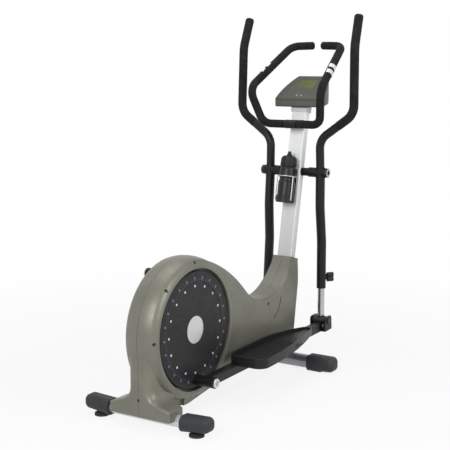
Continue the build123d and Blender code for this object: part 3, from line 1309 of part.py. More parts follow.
def face_plane(share: float, depth: float) -> Plane:
    """Plane on the console's face, part of the way up it and some depth inside."""
    low = Vector(CONSOLE_LIP_X, 0, CONSOLE_LIP_Z[1])
    high = Vector(CONSOLE_TOP[0], 0, CONSOLE_TOP[1])
    slope = radians(console_slope())
    normal = Vector(-sin(slope), 0, cos(slope))
    return Plane(origin=low + (high - low) * share - normal * depth, x_dir=(0, -1, 0), z_dir=normal)


def console_form(inset: float) -> Part:
    """Wedge of the console, drawn in by an inset."""
    lip_low = (CONSOLE_LIP_X, CONSOLE_LIP_Z[0])
    lip_high = (CONSOLE_LIP_X, CONSOLE_LIP_Z[1])
    side = polygon(lip_low, lip_high, CONSOLE_TOP, CONSOLE_BACK, CONSOLE_HEEL)
    plan_half = [
        Line((CONSOLE_LIP_X, 0), (CONSOLE_LIP_X, CONSOLE_HALF_WIDTH)),
        ThreePointArc((CONSOLE_LIP_X, CONSOLE_HALF_WIDTH), CONSOLE_MID,
                      (CONSOLE_BACK[0], CONSOLE_TOP_HALF_WIDTH)),
        Line((CONSOLE_BACK[0], CONSOLE_TOP_HALF_WIDTH), (CONSOLE_BACK[0], 0)),
        Line((CONSOLE_BACK[0], 0), (CONSOLE_LIP_X, 0)),
    ]
    plan = make_face(plan_half)
    plan += mirror(plan, about=Plane.XZ)
    if inset:
        side = offset(side, amount=-inset, kind=Kind.INTERSECTION)
        plan = offset(plan, amount=-inset, kind=Kind.INTERSECTION)
    wedge = side_slab(side, CONSOLE_HALF_WIDTH + 1)
    column = Pos(0, 0, CONSOLE_LIP_Z[0] - 1) * extrude(plan, amount=CONSOLE_TOP[1] - CONSOLE_LIP_Z[0] + 2)
    form = wedge & column
    if inset:
        return form
    return fillet(form.edges(), radius=CONSOLE_ROUND)


def above_face(depth: float) -> Part:
    """Half space above a depth inside the console's face."""
    slab = Pos(0, 0, 250) * Box(800, 800, 500)
    return face_plane(0.5, depth).location * slab


def button_places() -> list:
    """Planes of the two console buttons on the face."""
    plane = face_plane(BUTTON_PLACE, 0)
    return [plane * Pos(side * BUTTON_SPACING / 2, 0, 0) for side in (-1, 1)]


def console_back() -> Part:
    """Rear body of the console, hollow, with the socket that sits on the mast."""
    body = console_form(0) - above_face(CONSOLE_FACE_THICKNESS)
    body -= console_form(CONSOLE_WALL) - above_face(CONSOLE_FACE_THICKNESS - 1)
    socket_top = CONSOLE_LIP_Z[0] + CONSOLE_WALL * 2
    socket = mast_space(SOCKET_WALL, MAST_TOP_Z - 22, socket_top)
    body += socket
    return body - mast_space(SLIP_GAP, MAST_TOP_Z - 60, MAST_TOP_Z + SLIP_GAP)


def console_face() -> Part:
    """Sloping front cover with the window recess and the button holes."""
    cover = console_form(0) & above_face(CONSOLE_FACE_THICKNESS)
    recess = face_plane(LENS_PLACE, LENS_THICKNESS)
    window = RectangleRounded(LENS_SIZE[0], LENS_SIZE[1], 6)
    cover -= recess.location * extrude(window, amount=LENS_THICKNESS + 10)
    for place in button_places():
        cover -= place * Cylinder(BUTTON_RADIUS + SLIP_GAP, CONSOLE_FACE_THICKNESS * 4)
    return cover


def console_lens() -> Part:
    """Display window in the face's recess."""
    recess = face_plane(LENS_PLACE, LENS_THICKNESS)
    window = RectangleRounded(LENS_SIZE[0] - 2 * SLIP_GAP, LENS_SIZE[1] - 2 * SLIP_GAP, 6 - SLIP_GAP)
    return recess.location * extrude(window, amount=LENS_THICKNESS)


def console_button(side: int) -> Part:
    """One round button, standing a little proud of the face."""
    place = button_places()[0 if side < 0 else 1]
    button = Cylinder(BUTTON_RADIUS, BUTTON_LENGTH)
    button = fillet(button.edges().group_by(Axis.Z)[-1], radius=1)
    return place * Pos(0, 0, BUTTON_PROUD - BUTTON_LENGTH / 2) * button


# Bottle and holder, drawn on an upright mast and leaned with it

def bottle_axis() -> float:
    """Distance of the bottle's axis behind the mast's rear face."""
    return -(HOLDER_PLATE + HOLDER_WALL * 0.5 + FREE_GAP + BOTTLE_RADIUS)


def bottle_base() -> float:
    """Height of the bottle's base along the mast."""
    return mast_height(BOTTLE_BASE_Z)


def bottle_holder() -> Part:
    """Plate on the mast with a shelf and a low cup for the bottle."""
    base = bottle_base() - FREE_GAP - SHELF_THICKNESS
    half = HOLDER_WIDTH / 2
    plate = place_box((-HOLDER_PLATE, 0), (-half, half), (base, base + HOLDER_HEIGHT))
    plate = fillet(plate.edges().filter_by(Axis.X), radius=8)
    outer = BOTTLE_RADIUS + FREE_GAP + HOLDER_WALL
    cup = Pos(bottle_axis(), 0, base + HOLDER_RIM / 2) * Cylinder(outer, HOLDER_RIM)
    web = place_box((bottle_axis(), -HOLDER_PLATE / 2), (-half * 0.6, half * 0.6), (base, base + HOLDER_RIM))
    hollow = Pos(bottle_axis(), 0, base + SHELF_THICKNESS + HOLDER_RIM)
    holder = plate + cup + web - hollow * Cylinder(outer - HOLDER_WALL, 2 * HOLDER_RIM)
    drain = Pos(bottle_axis(), 0, base) * Cylinder(BOTTLE_RADIUS * 0.5, SHELF_THICKNESS * 4)
    return set_mast(holder - drain)


def bottle_cage() -> Part:
    """Bright wire: a loop round the bottle whose two legs run down to the cup."""
    base = bottle_base() - FREE_GAP - SHELF_THICKNESS
    x = bottle_axis()
    loop_radius = BOTTLE_RADIUS + FREE_GAP + WIRE_RADIUS
    outer = BOTTLE_RADIUS + FREE_GAP + HOLDER_WALL
    ring = Torus(loop_radius, WIRE_RADIUS)
    ring = Pos(x, 0, base + WIRE_HEIGHT) * ring
    for angle in (-115.0, 115.0):
        foot = (x + (outer + WIRE_RADIUS) * cos(radians(angle)), (outer + WIRE_RADIUS) * sin(radians(angle)))
        leg = (foot[0], foot[1], base + 8)
        head = (foot[0], foot[1], base + WIRE_HEIGHT)
        ring += bent_rod([leg, head], [], WIRE_RADIUS)
    clear = Pos(x, 0, base + WIRE_HEIGHT / 2 + HOLDER_RIM) * Cylinder(BOTTLE_RADIUS + FREE_GAP, WIRE_HEIGHT * 2)
    wall = place_box((-HOLDER_PLATE, 0), (-HOLDER_WIDTH, HOLDER_WIDTH), (base, base + HOLDER_HEIGHT))
    return set_mast(ring - clear - wall)


def bottle() -> Part:
    """Round bottle with a waist and a neck."""
    r = BOTTLE_RADIUS
    h = BOTTLE_HEIGHT
    face = make_face([
        Line((0, 0), (r - 3, 0)),
        Line((r - 3, 0), (r, 3)),
        Line((r, 3), (r, h * 0.55)),
        ThreePointArc((r, h * 0.55), (r - 4, h * 0.64), (r, h * 0.73)),
        Line((r, h * 0.73), (r, h - BOTTLE_SHOULDER)),
        ThreePointArc((r, h - BOTTLE_SHOULDER), (r - 3, h - 5), (NECK_RADIUS, h)),
        Line((NECK_RADIUS, h), (0, h)),
        Line((0, h), (0, 0)),
    ])
    body = revolve(Plane.XZ * face, axis=Axis.Z)
    return set_mast(Pos(bottle_axis(), 0, bottle_base()) * body)


def bottle_cap() -> Part:
    """Screw cap with its drinking nozzle."""
    top = CAP_SKIRT
    face = make_face([
        Line((0, 0), (BOTTLE_RADIUS - 2, 0)),
        Line((BOTTLE_RADIUS - 2, 0), (BOTTLE_RADIUS - 4, top - 6)),
        ThreePointArc((BOTTLE_RADIUS - 4, top - 6), (BOTTLE_RADIUS - 8, top - 1), (NOZZLE_RADIUS * 1.6, top + 4)),
        Line((NOZZLE_RADIUS * 1.6, top + 4), (NOZZLE_RADIUS, top + 10)),
        Line((NOZZLE_RADIUS, top + 10), (NOZZLE_RADIUS * 0.8, top + NOZZLE_HEIGHT)),
        Line((NOZZLE_RADIUS * 0.8, top + NOZZLE_HEIGHT), (0, top + NOZZLE_HEIGHT)),
        Line((0, top + NOZZLE_HEIGHT), (0, 0)),
    ])
    cap = revolve(Plane.XZ * face, axis=Axis.Z)
    return set_mast(Pos(bottle_axis(), 0, bottle_base() + BOTTLE_HEIGHT) * cap)


# Assembly

def all_pieces() -> dict:
    """Every node by name."""
    shell = right_shell()
    pieces = {
        "main_frame": main_frame(),
        "rear_stabilizer": stabilizer(REAR_TUBE_RADIUS, REAR_STABILIZER_X, REAR_STABILIZER_Z),
        "front_stabilizer": stabilizer(FRONT_TUBE_RADIUS, FRONT_STABILIZER_X, FRONT_STABILIZER_Z),
        "right_shell": shell,
        "left_shell": left_of(shell),
        "shell_screws": shell_screws(),
        "mast": mast(),
        "pivot_shaft": pivot_shaft(),
        "pivot_covers": pivot_covers(),
        "pivot_end_caps": pivot_end_caps(),
        "handlebar": handlebar(),
        "handlebar_clamp": handlebar_clamp(),
        "pulse_sensors": pulse_sensors(),
        "console_back": console_back(),
        "console_face": console_face(),
        "console_lens": console_lens(),
        "console_button_left": console_button(-1),
        "console_button_right": console_button(1),
        "bottle_holder": bottle_holder(),
        "bottle_cage": bottle_cage(),
        "bottle": bottle(),
        "bottle_cap": bottle_cap(),
        "crank_axle": crank_axle(),
        "crank_arms": Compound(children=[crank_arm(True), crank_arm(False)]),
        "crank_bearings": crank_bearings(),
        "disc_badges": disc_badges(),
        "drive_pulley": drive_pulley(),
        "drive_belt": drive_belt(),
        "flywheel": flywheel(),
        "flywheel_shaft": flywheel_shaft(),
        "idler_pulley": idler_pulley(),
        "magnetic_brake": magnetic_brake(),
    }
    for right, side in ((True, "right"), (False, "left")):
        hand = (lambda shape: shape) if right else left_of
        pieces[f"rear_cap_{side}"] = hand(rear_cap())
        pieces[f"front_cap_{side}"] = hand(front_cap())
        pieces[f"levelling_foot_{side}"] = hand(levelling_foot())
        pieces[f"transport_wheel_{side}"] = hand(transport_wheel())
        pieces[f"handlebar_grip_{side}"] = hand(handlebar_grip())
        pieces[f"disc_{side}"] = disc(right)
        pieces[f"swing_arm_{side}"] = set_swing(swing_arm(), right)
        pieces[f"swing_grip_{side}"] = set_swing(swing_grip(), right)
        pieces[f"pivot_bushes_{side}"] = set_swing(pivot_bushes(), right)
        pieces[f"lower_tube_{side}"] = set_swing(lower_tube(), right)
        pieces[f"clamp_knob_{side}"] = set_swing(clamp_knob(), right)
        pieces[f"pedal_arm_{side}"] = set_pedal(pedal_arm(), right)
        pieces[f"pedal_{side}"] = set_pedal(pedal(), right)
        pieces[f"pedal_hardware_{side}"] = set_pedal(pedal_hardware(), right)
    return pieces


os.makedirs("parts", exist_ok=True)
for node, shape in all_pieces().items():
    export_step(shape, f"parts/{node}.step")
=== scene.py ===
"""Dressed scene of a home elliptical trainer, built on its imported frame."""
import logging
import math
from dataclasses import dataclass, field
from enum import Enum
from typing import Dict, List, Optional, Tuple, Union

import bmesh
import bpy
from mathutils import Color, Matrix, Vector


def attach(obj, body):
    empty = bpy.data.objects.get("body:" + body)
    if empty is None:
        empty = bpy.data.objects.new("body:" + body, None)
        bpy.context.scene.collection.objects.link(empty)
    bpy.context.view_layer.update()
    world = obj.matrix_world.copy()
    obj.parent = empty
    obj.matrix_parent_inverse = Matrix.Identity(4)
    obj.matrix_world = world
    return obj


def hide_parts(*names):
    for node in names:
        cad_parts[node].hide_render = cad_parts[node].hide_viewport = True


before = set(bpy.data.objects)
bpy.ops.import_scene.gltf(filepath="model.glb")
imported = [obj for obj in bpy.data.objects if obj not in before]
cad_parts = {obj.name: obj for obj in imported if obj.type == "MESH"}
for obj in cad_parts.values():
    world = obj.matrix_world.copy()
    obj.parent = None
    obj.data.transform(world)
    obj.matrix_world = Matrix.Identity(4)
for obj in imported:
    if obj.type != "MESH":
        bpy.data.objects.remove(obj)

LOG = logging.getLogger("trainer")
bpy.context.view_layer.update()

Colour = Tuple[float, float, float]
Light = Tuple[float, float, float, float]
Point = Tuple[float, float, float]
Span = Tuple[float, float]
Socket = bpy.types.NodeSocket

FULL = 255.0
WHITE: Light = (1.0, 1.0, 1.0, 1.0)
MASK_SPAN: Span = (0.0, 1.0)
PATTERN_SPAN: Span = (0.3, 0.7)


class Choice(Enum):
    """Choice that appears in the names of nodes and pieces."""

    @property
    def word(self) -> str:
        """Name of the choice as the nodes spell it."""
        return self.name.lower()


class Side(Choice):
    """Hand of a piece that comes in pairs, with its sign along Y."""

    RIGHT = -1
    LEFT = 1


class Seam(Choice):
    """Weld above or below a swing arm's sleeve, with its sign along Z."""

    UPPER = 1
    LOWER = -1


class Axis(Enum):
    """Direction along which a finish changes."""

    X = "X"
    Z = "Z"


class Half(Enum):
    """Side of a plane that wears the second colour, with the test that finds it."""

    ABOVE = "GREATER_THAN"
    BELOW = "LESS_THAN"


@dataclass(frozen=True)
class Relief:
    """Fine relief: cycles in a metre, octaves, the share that shows and the depth in metres.

    Foam is made of cells, which have no octaves.
    """

    scale: float
    detail: float
    strength: float
    depth: float


class Grain(Enum):
    """Kind of fine surface pattern that a finish carries, with its relief."""

    MOULDED = Relief(900.0, 3.0, 0.14, 0.0003)
    PAINTED = Relief(160.0, 2.0, 0.06, 0.0004)
    BRUSHED = Relief(300.0, 2.0, 0.12, 0.0003)
    CAST = Relief(420.0, 5.0, 0.35, 0.0006)
    FOAM = Relief(620.0, 0.0, 0.55, 0.0009)


def linear(colour: Colour) -> Light:
    """Turns a 0-255 screen colour into linear light.

    Args:
        colour: red, green and blue from 0 to 255.

    Returns:
        Red, green, blue and a full alpha.
    """
    light = Color([value / FULL for value in colour]).from_srgb_to_scene_linear()
    return (light.r, light.g, light.b, 1.0)


def shade(colour: Colour, factor: float) -> Colour:
    """Lightens or darkens a 0-255 colour.

    Args:
        colour: red, green and blue from 0 to 255.
        factor: multiplier for each.

    Returns:
        The new colour, kept within 255.
    """
    return tuple(min(FULL, value * factor) for value in colour)


def as_object(name: str, mesh: bmesh.types.BMesh) -> bpy.types.Object:
    """Makes an object of a bmesh, which is freed.

    Args:
        name: the object's name.
        mesh: its geometry.

    Returns:
        The new object, linked to the scene.
    """
    data = bpy.data.meshes.new(name)
    mesh.to_mesh(data)
    mesh.free()
    made = bpy.data.objects.new(name, data)
    bpy.context.scene.collection.objects.link(made)
    return made


class Nodes:
    """Node tree with short calls to add nodes and links."""

    def __init__(self, tree: bpy.types.NodeTree) -> None:
        """Empties a tree and starts on it.

        Args:
            tree: the node tree.
        """
        self.tree = tree
        self.tree.nodes.clear()

    def add(self, kind: str, settings: Optional[dict] = None, **sockets: object) -> bpy.types.Node:
        """Adds a node.

        Args:
            kind: the node's type.
            settings: attributes of the node itself.
            **sockets: values for its inputs, by name with underscores for spaces.

        Returns:
            The new node.
        """
        node = self.tree.nodes.new(kind)
        for key, value in (settings or {}).items():
            setattr(node, key, value)
        for key, value in sockets.items():
            node.inputs[key.replace("_", " ")].default_value = value
        return node

    def join(self, source: Socket, target: Socket) -> None:
        """Links an output to an input."""
        self.tree.links.new(source, target)

    def feed(self, value: Union[Socket, float, Light], target: Socket) -> None:
        """Links a socket to an input, or sets the input to a constant.

        Args:
            value: a socket or a constant.
            target: the input.
        """
        if isinstance(value, Socket):
            self.join(value, target)
        else:
            target.default_value = value

    def maths(self, operation: str, *values: Union[Socket, float]) -> Socket:
        """Adds a maths node.

        Args:
            operation: the operation's name.
            *values: a socket or a number for each of its inputs.

        Returns:
            The result's socket.
        """
        node = self.add("ShaderNodeMath", {"operation": operation})
        for value, target in zip(values, node.inputs):
            self.feed(value, target)
        return node.outputs["Value"]

    def spread(self, factor: Socket, low: float, high: float, span: Span = PATTERN_SPAN) -> Socket:
        """Maps a pattern to a range of values.

        Args:
            factor: the pattern.
            low: value at the start of the span.
            high: value at its end.
            span: pattern values that give low and high.

        Returns:
            The value.
        """
        node = self.add("ShaderNodeMapRange", From_Min=span[0], From_Max=span[1], To_Min=low, To_Max=high)
        self.join(factor, node.inputs["Value"])
        return node.outputs["Result"]

    def blend(self, factor: Socket, first: bpy.types.Node, second: bpy.types.Node, output: str) -> None:
        """Shows a mix of two shaders.

        Args:
            factor: share of the second.
            first: a shader's node.
            second: a shader's node.
            output: type of the output node.
        """
        node = self.add("ShaderNodeMixShader")
        for source, target in zip((factor, first.outputs[0], second.outputs[0]), node.inputs):
            self.join(source, target)
        self.join(node.outputs["Shader"], self.add(output).inputs["Surface"])


class Graph(Nodes):
    """Node tree of one material with its shader and patterns."""

    MIX_INPUTS = (6, 7)
    MIX_OUTPUT = 2

    def __init__(self, name: str) -> None:
        """Starts a material with a bare shader.

        Args:
            name: the material's name.
        """
        self.material = bpy.data.materials.new(name)
        self.material.use_nodes = True
        super().__init__(self.material.node_tree)
        self.shader = self.add("ShaderNodeBsdfPrincipled")
        output = self.add("ShaderNodeOutputMaterial")
        self.join(self.shader.outputs["BSDF"], output.inputs["Surface"])
        self.place = self.add("ShaderNodeTexCoord").outputs["Object"]

    def set(self, **sockets: Union[Socket, float]) -> None:
        """Sets or links the shader's own sockets, by name with underscores for spaces."""
        for key, value in sockets.items():
            self.feed(value, self.shader.inputs[key.replace("_", " ")])

    def noise(self, scale: float, detail: float, vector: Optional[Socket] = None) -> Socket:
        """Adds a noise pattern.

        Args:
            scale: cycles in a metre.
            detail: octaves.
            vector: where to read it, or None for the object's own place.

        Returns:
            The pattern from 0 to 1.
        """
        node = self.add("ShaderNodeTexNoise", Scale=scale, Detail=detail)
        self.join(vector or self.place, node.inputs["Vector"])
        return node.outputs["Fac"]

    def cells(self, scale: float, randomness: float = 1.0) -> Socket:
        """Adds a pattern of cells.

        Args:
            scale: cells in a metre.
            randomness: how far they stray from an even grid, from 0 to 1.

        Returns:
            The distance from the nearest cell's middle.
        """
        node = self.add("ShaderNodeTexVoronoi", Scale=scale, Randomness=randomness)
        self.join(self.place, node.inputs["Vector"])
        return node.outputs["Distance"]

    def mapped(self, vector: Optional[Socket] = None, **sockets: Point) -> Socket:
        """Moves, turns or stretches a place.

        Args:
            vector: the place, or None for the object's own.
            **sockets: Location, Rotation or Scale.

        Returns:
            The new place.
        """
        node = self.add("ShaderNodeMapping", **sockets)
        self.join(vector or self.place, node.inputs["Vector"])
        return node.outputs["Vector"]

    def centred(self, centre: Point) -> Socket:
        """Moves the object's place so that a point becomes the middle."""
        return self.mapped(Location=tuple(-value for value in centre))

    def parts(self, vector: Optional[Socket] = None) -> bpy.types.NodeOutputs:
        """Splits a place into its axes.

        Args:
            vector: the place, or None for the object's own.

        Returns:
            The X, Y and Z sockets.
        """
        node = self.add("ShaderNodeSeparateXYZ")
        self.join(vector or self.place, node.inputs["Vector"])
        return node.outputs

    def radius(self, axes: bpy.types.NodeOutputs) -> Socket:
        """Distance from the Y axis.

        Args:
            axes: the split place.

        Returns:
            The distance.
        """
        across = self.maths("MULTIPLY", axes["X"], axes["X"])
        upright = self.maths("MULTIPLY", axes["Z"], axes["Z"])
        return self.maths("SQRT", self.maths("ADD", across, upright))

    def within(self, value: Socket, span: Span) -> Socket:
        """Mask of the values inside a span.

        Args:
            value: the value.
            span: its two bounds.

        Returns:
            The mask.
        """
        past = self.maths("GREATER_THAN", value, span[0])
        return self.maths("MULTIPLY", past, self.maths("LESS_THAN", value, span[1]))

    def ramp(self, factor: Socket, low: Colour, high: Colour) -> Socket:
        """Adds a ramp between two colours.

        Args:
            factor: pattern from 0 to 1.
            low: colour at the start of the pattern's span.
            high: colour at its end.

        Returns:
            The colour.
        """
        node = self.add("ShaderNodeValToRGB")
        for stop, position, colour in zip(node.color_ramp.elements, PATTERN_SPAN, (low, high)):
            stop.position = position
            stop.color = linear(colour)
        self.join(factor, node.inputs["Fac"])
        return node.outputs["Color"]

    def mix(self, factor: Socket, first: Socket, second: Colour) -> Socket:
        """Lays a colour over another.

        Args:
            factor: share of the second.
            first: the socket of the colour below.
            second: the colour on top.

        Returns:
            The mixed colour.
        """
        node = self.add("ShaderNodeMix", {"data_type": "RGBA"})
        self.join(factor, node.inputs["Factor"])
        for index, value in zip(self.MIX_INPUTS, (first, linear(second))):
            self.feed(value, node.inputs[index])
        return node.outputs[self.MIX_OUTPUT]

    def bump(self, height: Socket, strength: float, depth: float) -> None:
        """Gives the shader a bump.

        Args:
            height: the relief from 0 to 1.
            strength: how much of it shows.
            depth: its depth in metres.
        """
        node = self.add("ShaderNodeBump", Strength=strength, Distance=depth)
        self.join(height, node.inputs["Height"])
        self.set(Normal=node.outputs["Normal"])


@dataclass(frozen=True)
class Finish:
    """Look of one material: its colour, gloss and fine grain."""

    name: str
    colour: Colour
    grain: Grain
    metallic: float = 0.0
    roughness: float = 0.5
    mottle: float = 0.08
    coat: float = 0.0
    coat_roughness: float = 0.15
    specular: float = 0.5
    run: Point = (1.0, 1.0, 1.0)
    cloud_scale: float = 9.0
    cloud_detail: float = 4.0
    marks_scale: float = 38.0
    marks_detail: float = 5.0
    wear: Span = (0.86, 1.16)

    def build(self) -> bpy.types.Material:
        """Makes the material.

        Returns:
            The finished material.
        """
        graph = Graph(self.name)
        graph.set(Metallic=self.metallic, Coat_Weight=self.coat, Coat_Roughness=self.coat_roughness,
                  Specular_IOR_Level=self.specular)
        graph.set(Base_Color=self.tint(graph), Roughness=self.gloss(graph))
        self.relief(graph)
        return graph.material

    def tint(self, graph: Graph) -> Socket:
        """Colour with a soft cloudy variation.

        Args:
            graph: the material's tree.

        Returns:
            The colour socket.
        """
        cloud = graph.noise(self.cloud_scale, self.cloud_detail)
        dark, pale = (shade(self.colour, 1.0 + change) for change in (-self.mottle, self.mottle))
        return graph.ramp(cloud, dark, pale)

    def gloss(self, graph: Graph) -> Socket:
        """Roughness with faint handling marks.

        Args:
            graph: the material's tree.

        Returns:
            The roughness socket.
        """
        marks = graph.noise(self.marks_scale, self.marks_detail)
        smooth, dull = (min(1.0, self.roughness * factor) for factor in self.wear)
        return graph.spread(marks, smooth, dull)

    def relief(self, graph: Graph) -> None:
        """Bump of the finish's grain.

        Args:
            graph: the material's tree.
        """
        fine = self.grain.value
        if self.grain is Grain.FOAM:
            height = graph.cells(fine.scale)
        else:
            brushed = self.grain is Grain.BRUSHED
            height = graph.noise(fine.scale, fine.detail, graph.mapped(Scale=self.run) if brushed else None)
        graph.bump(height, fine.strength, fine.depth)


@dataclass(frozen=True)
class ShellFinish(Finish):
    """Metallic olive paint on the moulded housing, with fine flake, a middle seam and painted shadow in a
    curved slit.
    """

    flake_scale: float = 1500.0
    flake_share: float = 0.22
    flake_reach: Span = (0.0, 0.5)
    flake_shade: float = 1.3
    seam: float = 0.0006
    seam_shade: float = 0.45
    slit_centre: Point = (0.1383, 0.0, 0.3351)
    slit_radius: float = 0.1039
    slit_half: float = 0.0021
    slit_foot: float = 0.0455
    slit_top: float = -0.0119
    slit_side: float = -0.0575
    slit_shadow_factor: float = 0.22

    def tint(self, graph: Graph) -> Socket:
        """Paint with flake, the seam line and painted shadow in the slit.

        Args:
            graph: the material's tree.

        Returns:
            The colour socket.
        """
        spark = graph.spread(graph.cells(self.flake_scale), self.flake_share, 0.0, self.flake_reach)
        base = graph.mix(spark, super().tint(graph), shade(self.colour, self.flake_shade))
        off_middle = graph.maths("ABSOLUTE", graph.parts()["Y"])
        line = graph.maths("LESS_THAN", off_middle, self.seam)
        base = graph.mix(line, base, shade(self.colour, self.seam_shade))
        # painted shadow: the groove of the slit is darkened where shade falls inside it
        return graph.mix(self.slit_shadow_mask(graph), base, shade(self.colour, self.slit_shadow_factor))

    def slit_shadow_mask(self, graph: Graph) -> Socket:
        """Mask of the painted shadow in the curved slit on the right side of the front.

        Args:
            graph: the material's tree.

        Returns:
            The mask.
        """
        axes = graph.parts(graph.centred(self.slit_centre))
        band = graph.maths("COMPARE", graph.radius(axes), self.slit_radius, self.slit_half)
        foot = graph.maths("GREATER_THAN", axes["X"], self.slit_foot)
        top = graph.maths("LESS_THAN", axes["Z"], self.slit_top)
        side = graph.maths("LESS_THAN", axes["Y"], self.slit_side)
        ends = graph.maths("MULTIPLY", foot, top)
        return graph.maths("MULTIPLY", graph.maths("MULTIPLY", band, side), ends)


@dataclass(frozen=True)
class DiscFinish(Finish):
    """Dark cover disc with a ring of pale dots, a fine ring, small ticks near its rim and painted shade on
    its outer edge.
    """

    centre: Point = (-0.398, 0.0, 0.318)
    rim_shadow_start: float = 0.204
    rim_gap_shadow_factor: float = 0.9
    dots: int = 16
    dot_circle: float = 0.165
    dot_radius: float = 0.0046
    dot_colour: Colour = (214, 218, 224)
    ring_radius: float = 0.187
    ring_half: float = 0.0008
    ring_colour: Colour = (66, 72, 84)
    ticks: int = 24
    tick_span: Span = (0.190, 0.200)
    tick_share: float = 0.13
    tick_colour: Colour = (104, 120, 148)

    def tint(self, graph: Graph) -> Socket:
        """Disc colours with the printed rings and the painted shade at the rim.

        Args:
            graph: the material's tree.

        Returns:
            The colour socket.
        """
        axes = graph.parts(graph.centred(self.centre))
        radius = graph.radius(axes)
        angle = graph.maths("ARCTAN2", axes["Z"], axes["X"])
        # painted shade: the disc's outer band is darkened where it meets the gap to the housing
        rim_shadow = graph.maths("GREATER_THAN", radius, self.rim_shadow_start)
        base = graph.mix(rim_shadow, super().tint(graph), shade(self.colour, self.rim_gap_shadow_factor))
        ring = graph.maths("COMPARE", radius, self.ring_radius, self.ring_half)
        base = graph.mix(ring, base, self.ring_colour)
        base = graph.mix(self.tick_mask(graph, radius, angle), base, self.tick_colour)
        return graph.mix(self.dot_mask(graph, radius, angle), base, self.dot_colour)

    def tick_mask(self, graph: Graph, radius: Socket, angle: Socket) -> Socket:
        """Mask of the short ticks round the disc.

        Args:
            graph: the material's tree.
            radius: distance from the disc's middle.
            angle: angle round the disc in radians.

        Returns:
            The mask.
        """
        turn = graph.maths("FRACT", graph.maths("MULTIPLY", angle, self.ticks / math.tau))
        marked = graph.maths("LESS_THAN", turn, self.tick_share)
        return graph.maths("MULTIPLY", graph.within(radius, self.tick_span), marked)

    def dot_mask(self, graph: Graph, radius: Socket, angle: Socket) -> Socket:
        """Mask of the ring of round dots.

        Args:
            graph: the material's tree.
            radius: distance from the disc's middle.
            angle: angle round the disc in radians.

        Returns:
            The mask.
        """
        middle = 0.5
        pitch = math.tau * self.dot_circle / self.dots
        turns = graph.maths("MULTIPLY", angle, self.dots / math.tau)
        turn = graph.maths("FRACT", graph.maths("ADD", turns, middle))
        along = graph.maths("MULTIPLY", graph.maths("SUBTRACT", turn, middle), pitch)
        out = graph.maths("SUBTRACT", radius, self.dot_circle)
        gap = graph.maths("ADD", graph.maths("MULTIPLY", along, along), graph.maths("MULTIPLY", out, out))
        return graph.maths("LESS_THAN", gap, self.dot_radius ** 2)


@dataclass(frozen=True)
class TwoPartFinish(Finish):
    """Finish that wears a second one where its mask shows it."""

    second: Colour = (34, 34, 36)
    second_metallic: float = 0.0
    second_roughness: float = 0.5

    def build(self) -> bpy.types.Material:
        """Makes the two-part material.

        Returns:
            The finished material.
        """
        graph = Graph(self.name)
        mask = self.mask(graph)
        graph.set(Base_Color=graph.mix(mask, self.tint(graph), self.second),
                  Metallic=graph.spread(mask, self.metallic, self.second_metallic, MASK_SPAN),
                  Roughness=graph.spread(mask, self.roughness, self.second_roughness, MASK_SPAN))
        self.relief(graph)
        return graph.material

    def mask(self, graph: Graph) -> Socket:
        """Mask of the second finish, which each kind gives."""
        raise NotImplementedError


@dataclass(frozen=True)
class RingFinish(TwoPartFinish):
    """Finish with a second one in a ring round a cross shaft."""

    centre: Point = (0.460, 0.0, 0.831)
    span: Span = (0.0105, 0.0165)

    def mask(self, graph: Graph) -> Socket:
        """Mask of the ring."""
        return graph.within(graph.radius(graph.parts(graph.centred(self.centre))), self.span)


@dataclass(frozen=True)
class SplitFinish(TwoPartFinish):
    """Finish with a second one on one side of a plane."""

    axis: Axis = Axis.X
    half: Half = Half.ABOVE
    start: float = 0.0

    def mask(self, graph: Graph) -> Socket:
        """Mask of the plane's second side."""
        return graph.maths(self.half.value, graph.parts()[self.axis.value], self.start)


@dataclass(frozen=True)
class DisplayFinish(Finish):
    """Grey-green display behind a clear window, with faint fields."""

    centre: Point = (0.5617, 0.0, 1.2027)
    field_width: float = 0.02
    field_height: float = 0.019
    field_gap: float = 0.0012
    gap_shade: float = 0.72

    def tint(self, graph: Graph) -> Socket:
        """Display colour with its unlit fields.

        Args:
            graph: the material's tree.

        Returns:
            The colour socket.
        """
        turned = graph.mapped(graph.centred(self.centre), Rotation=(0.0, 0.0, math.pi / 2))
        fields = graph.add("ShaderNodeTexBrick", {"offset": 0.0}, Scale=1.0, Mortar_Size=self.field_gap,
                           Brick_Width=self.field_width, Row_Height=self.field_height)
        graph.join(turned, fields.inputs["Vector"])
        return graph.mix(fields.outputs["Fac"], super().tint(graph), shade(self.colour, self.gap_shade))


@dataclass(frozen=True)
class TrayFinish(Finish):
    """Black moulded tray with a pimpled tread."""

    tread: Relief = Relief(700.0, 3.0, 0.3, 0.0006)
    tread_share: float = 0.3
    pimple_scale: float = 150.0
    pimple_span: Span = (0.1, 0.35)

    def relief(self, graph: Graph) -> None:
        """Rows of small pimples over a moulded grain.

        Args:
            graph: the material's tree.
        """
        cells = graph.cells(self.pimple_scale, randomness=0.0)
        pimples = graph.spread(cells, 1.0, 0.0, self.pimple_span)
        noise = graph.noise(self.tread.scale, self.tread.detail)
        grain = graph.maths("MULTIPLY", noise, self.tread_share)
        graph.bump(graph.maths("ADD", pimples, grain), self.tread.strength, self.tread.depth)


@dataclass(frozen=True)
class MastFinish(Finish):
    """Silver paint with painted shade that darkens it towards its foot, near the housing."""

    foot_shade_share: float = 0.9
    foot_shade_factor: float = 0.78
    foot_shade_span: Span = (0.5, 1.0)

    def tint(self, graph: Graph) -> Socket:
        """Cloudy paint, with painted shade darkening it towards its foot.

        Args:
            graph: the material's tree.

        Returns:
            The colour socket.
        """
        # painted shade: the mast is darker towards its foot, standing in for how the light falls on it
        share = graph.spread(graph.parts()["Z"], self.foot_shade_share, 0.0, self.foot_shade_span)
        return graph.mix(share, super().tint(graph), shade(self.colour, self.foot_shade_factor))


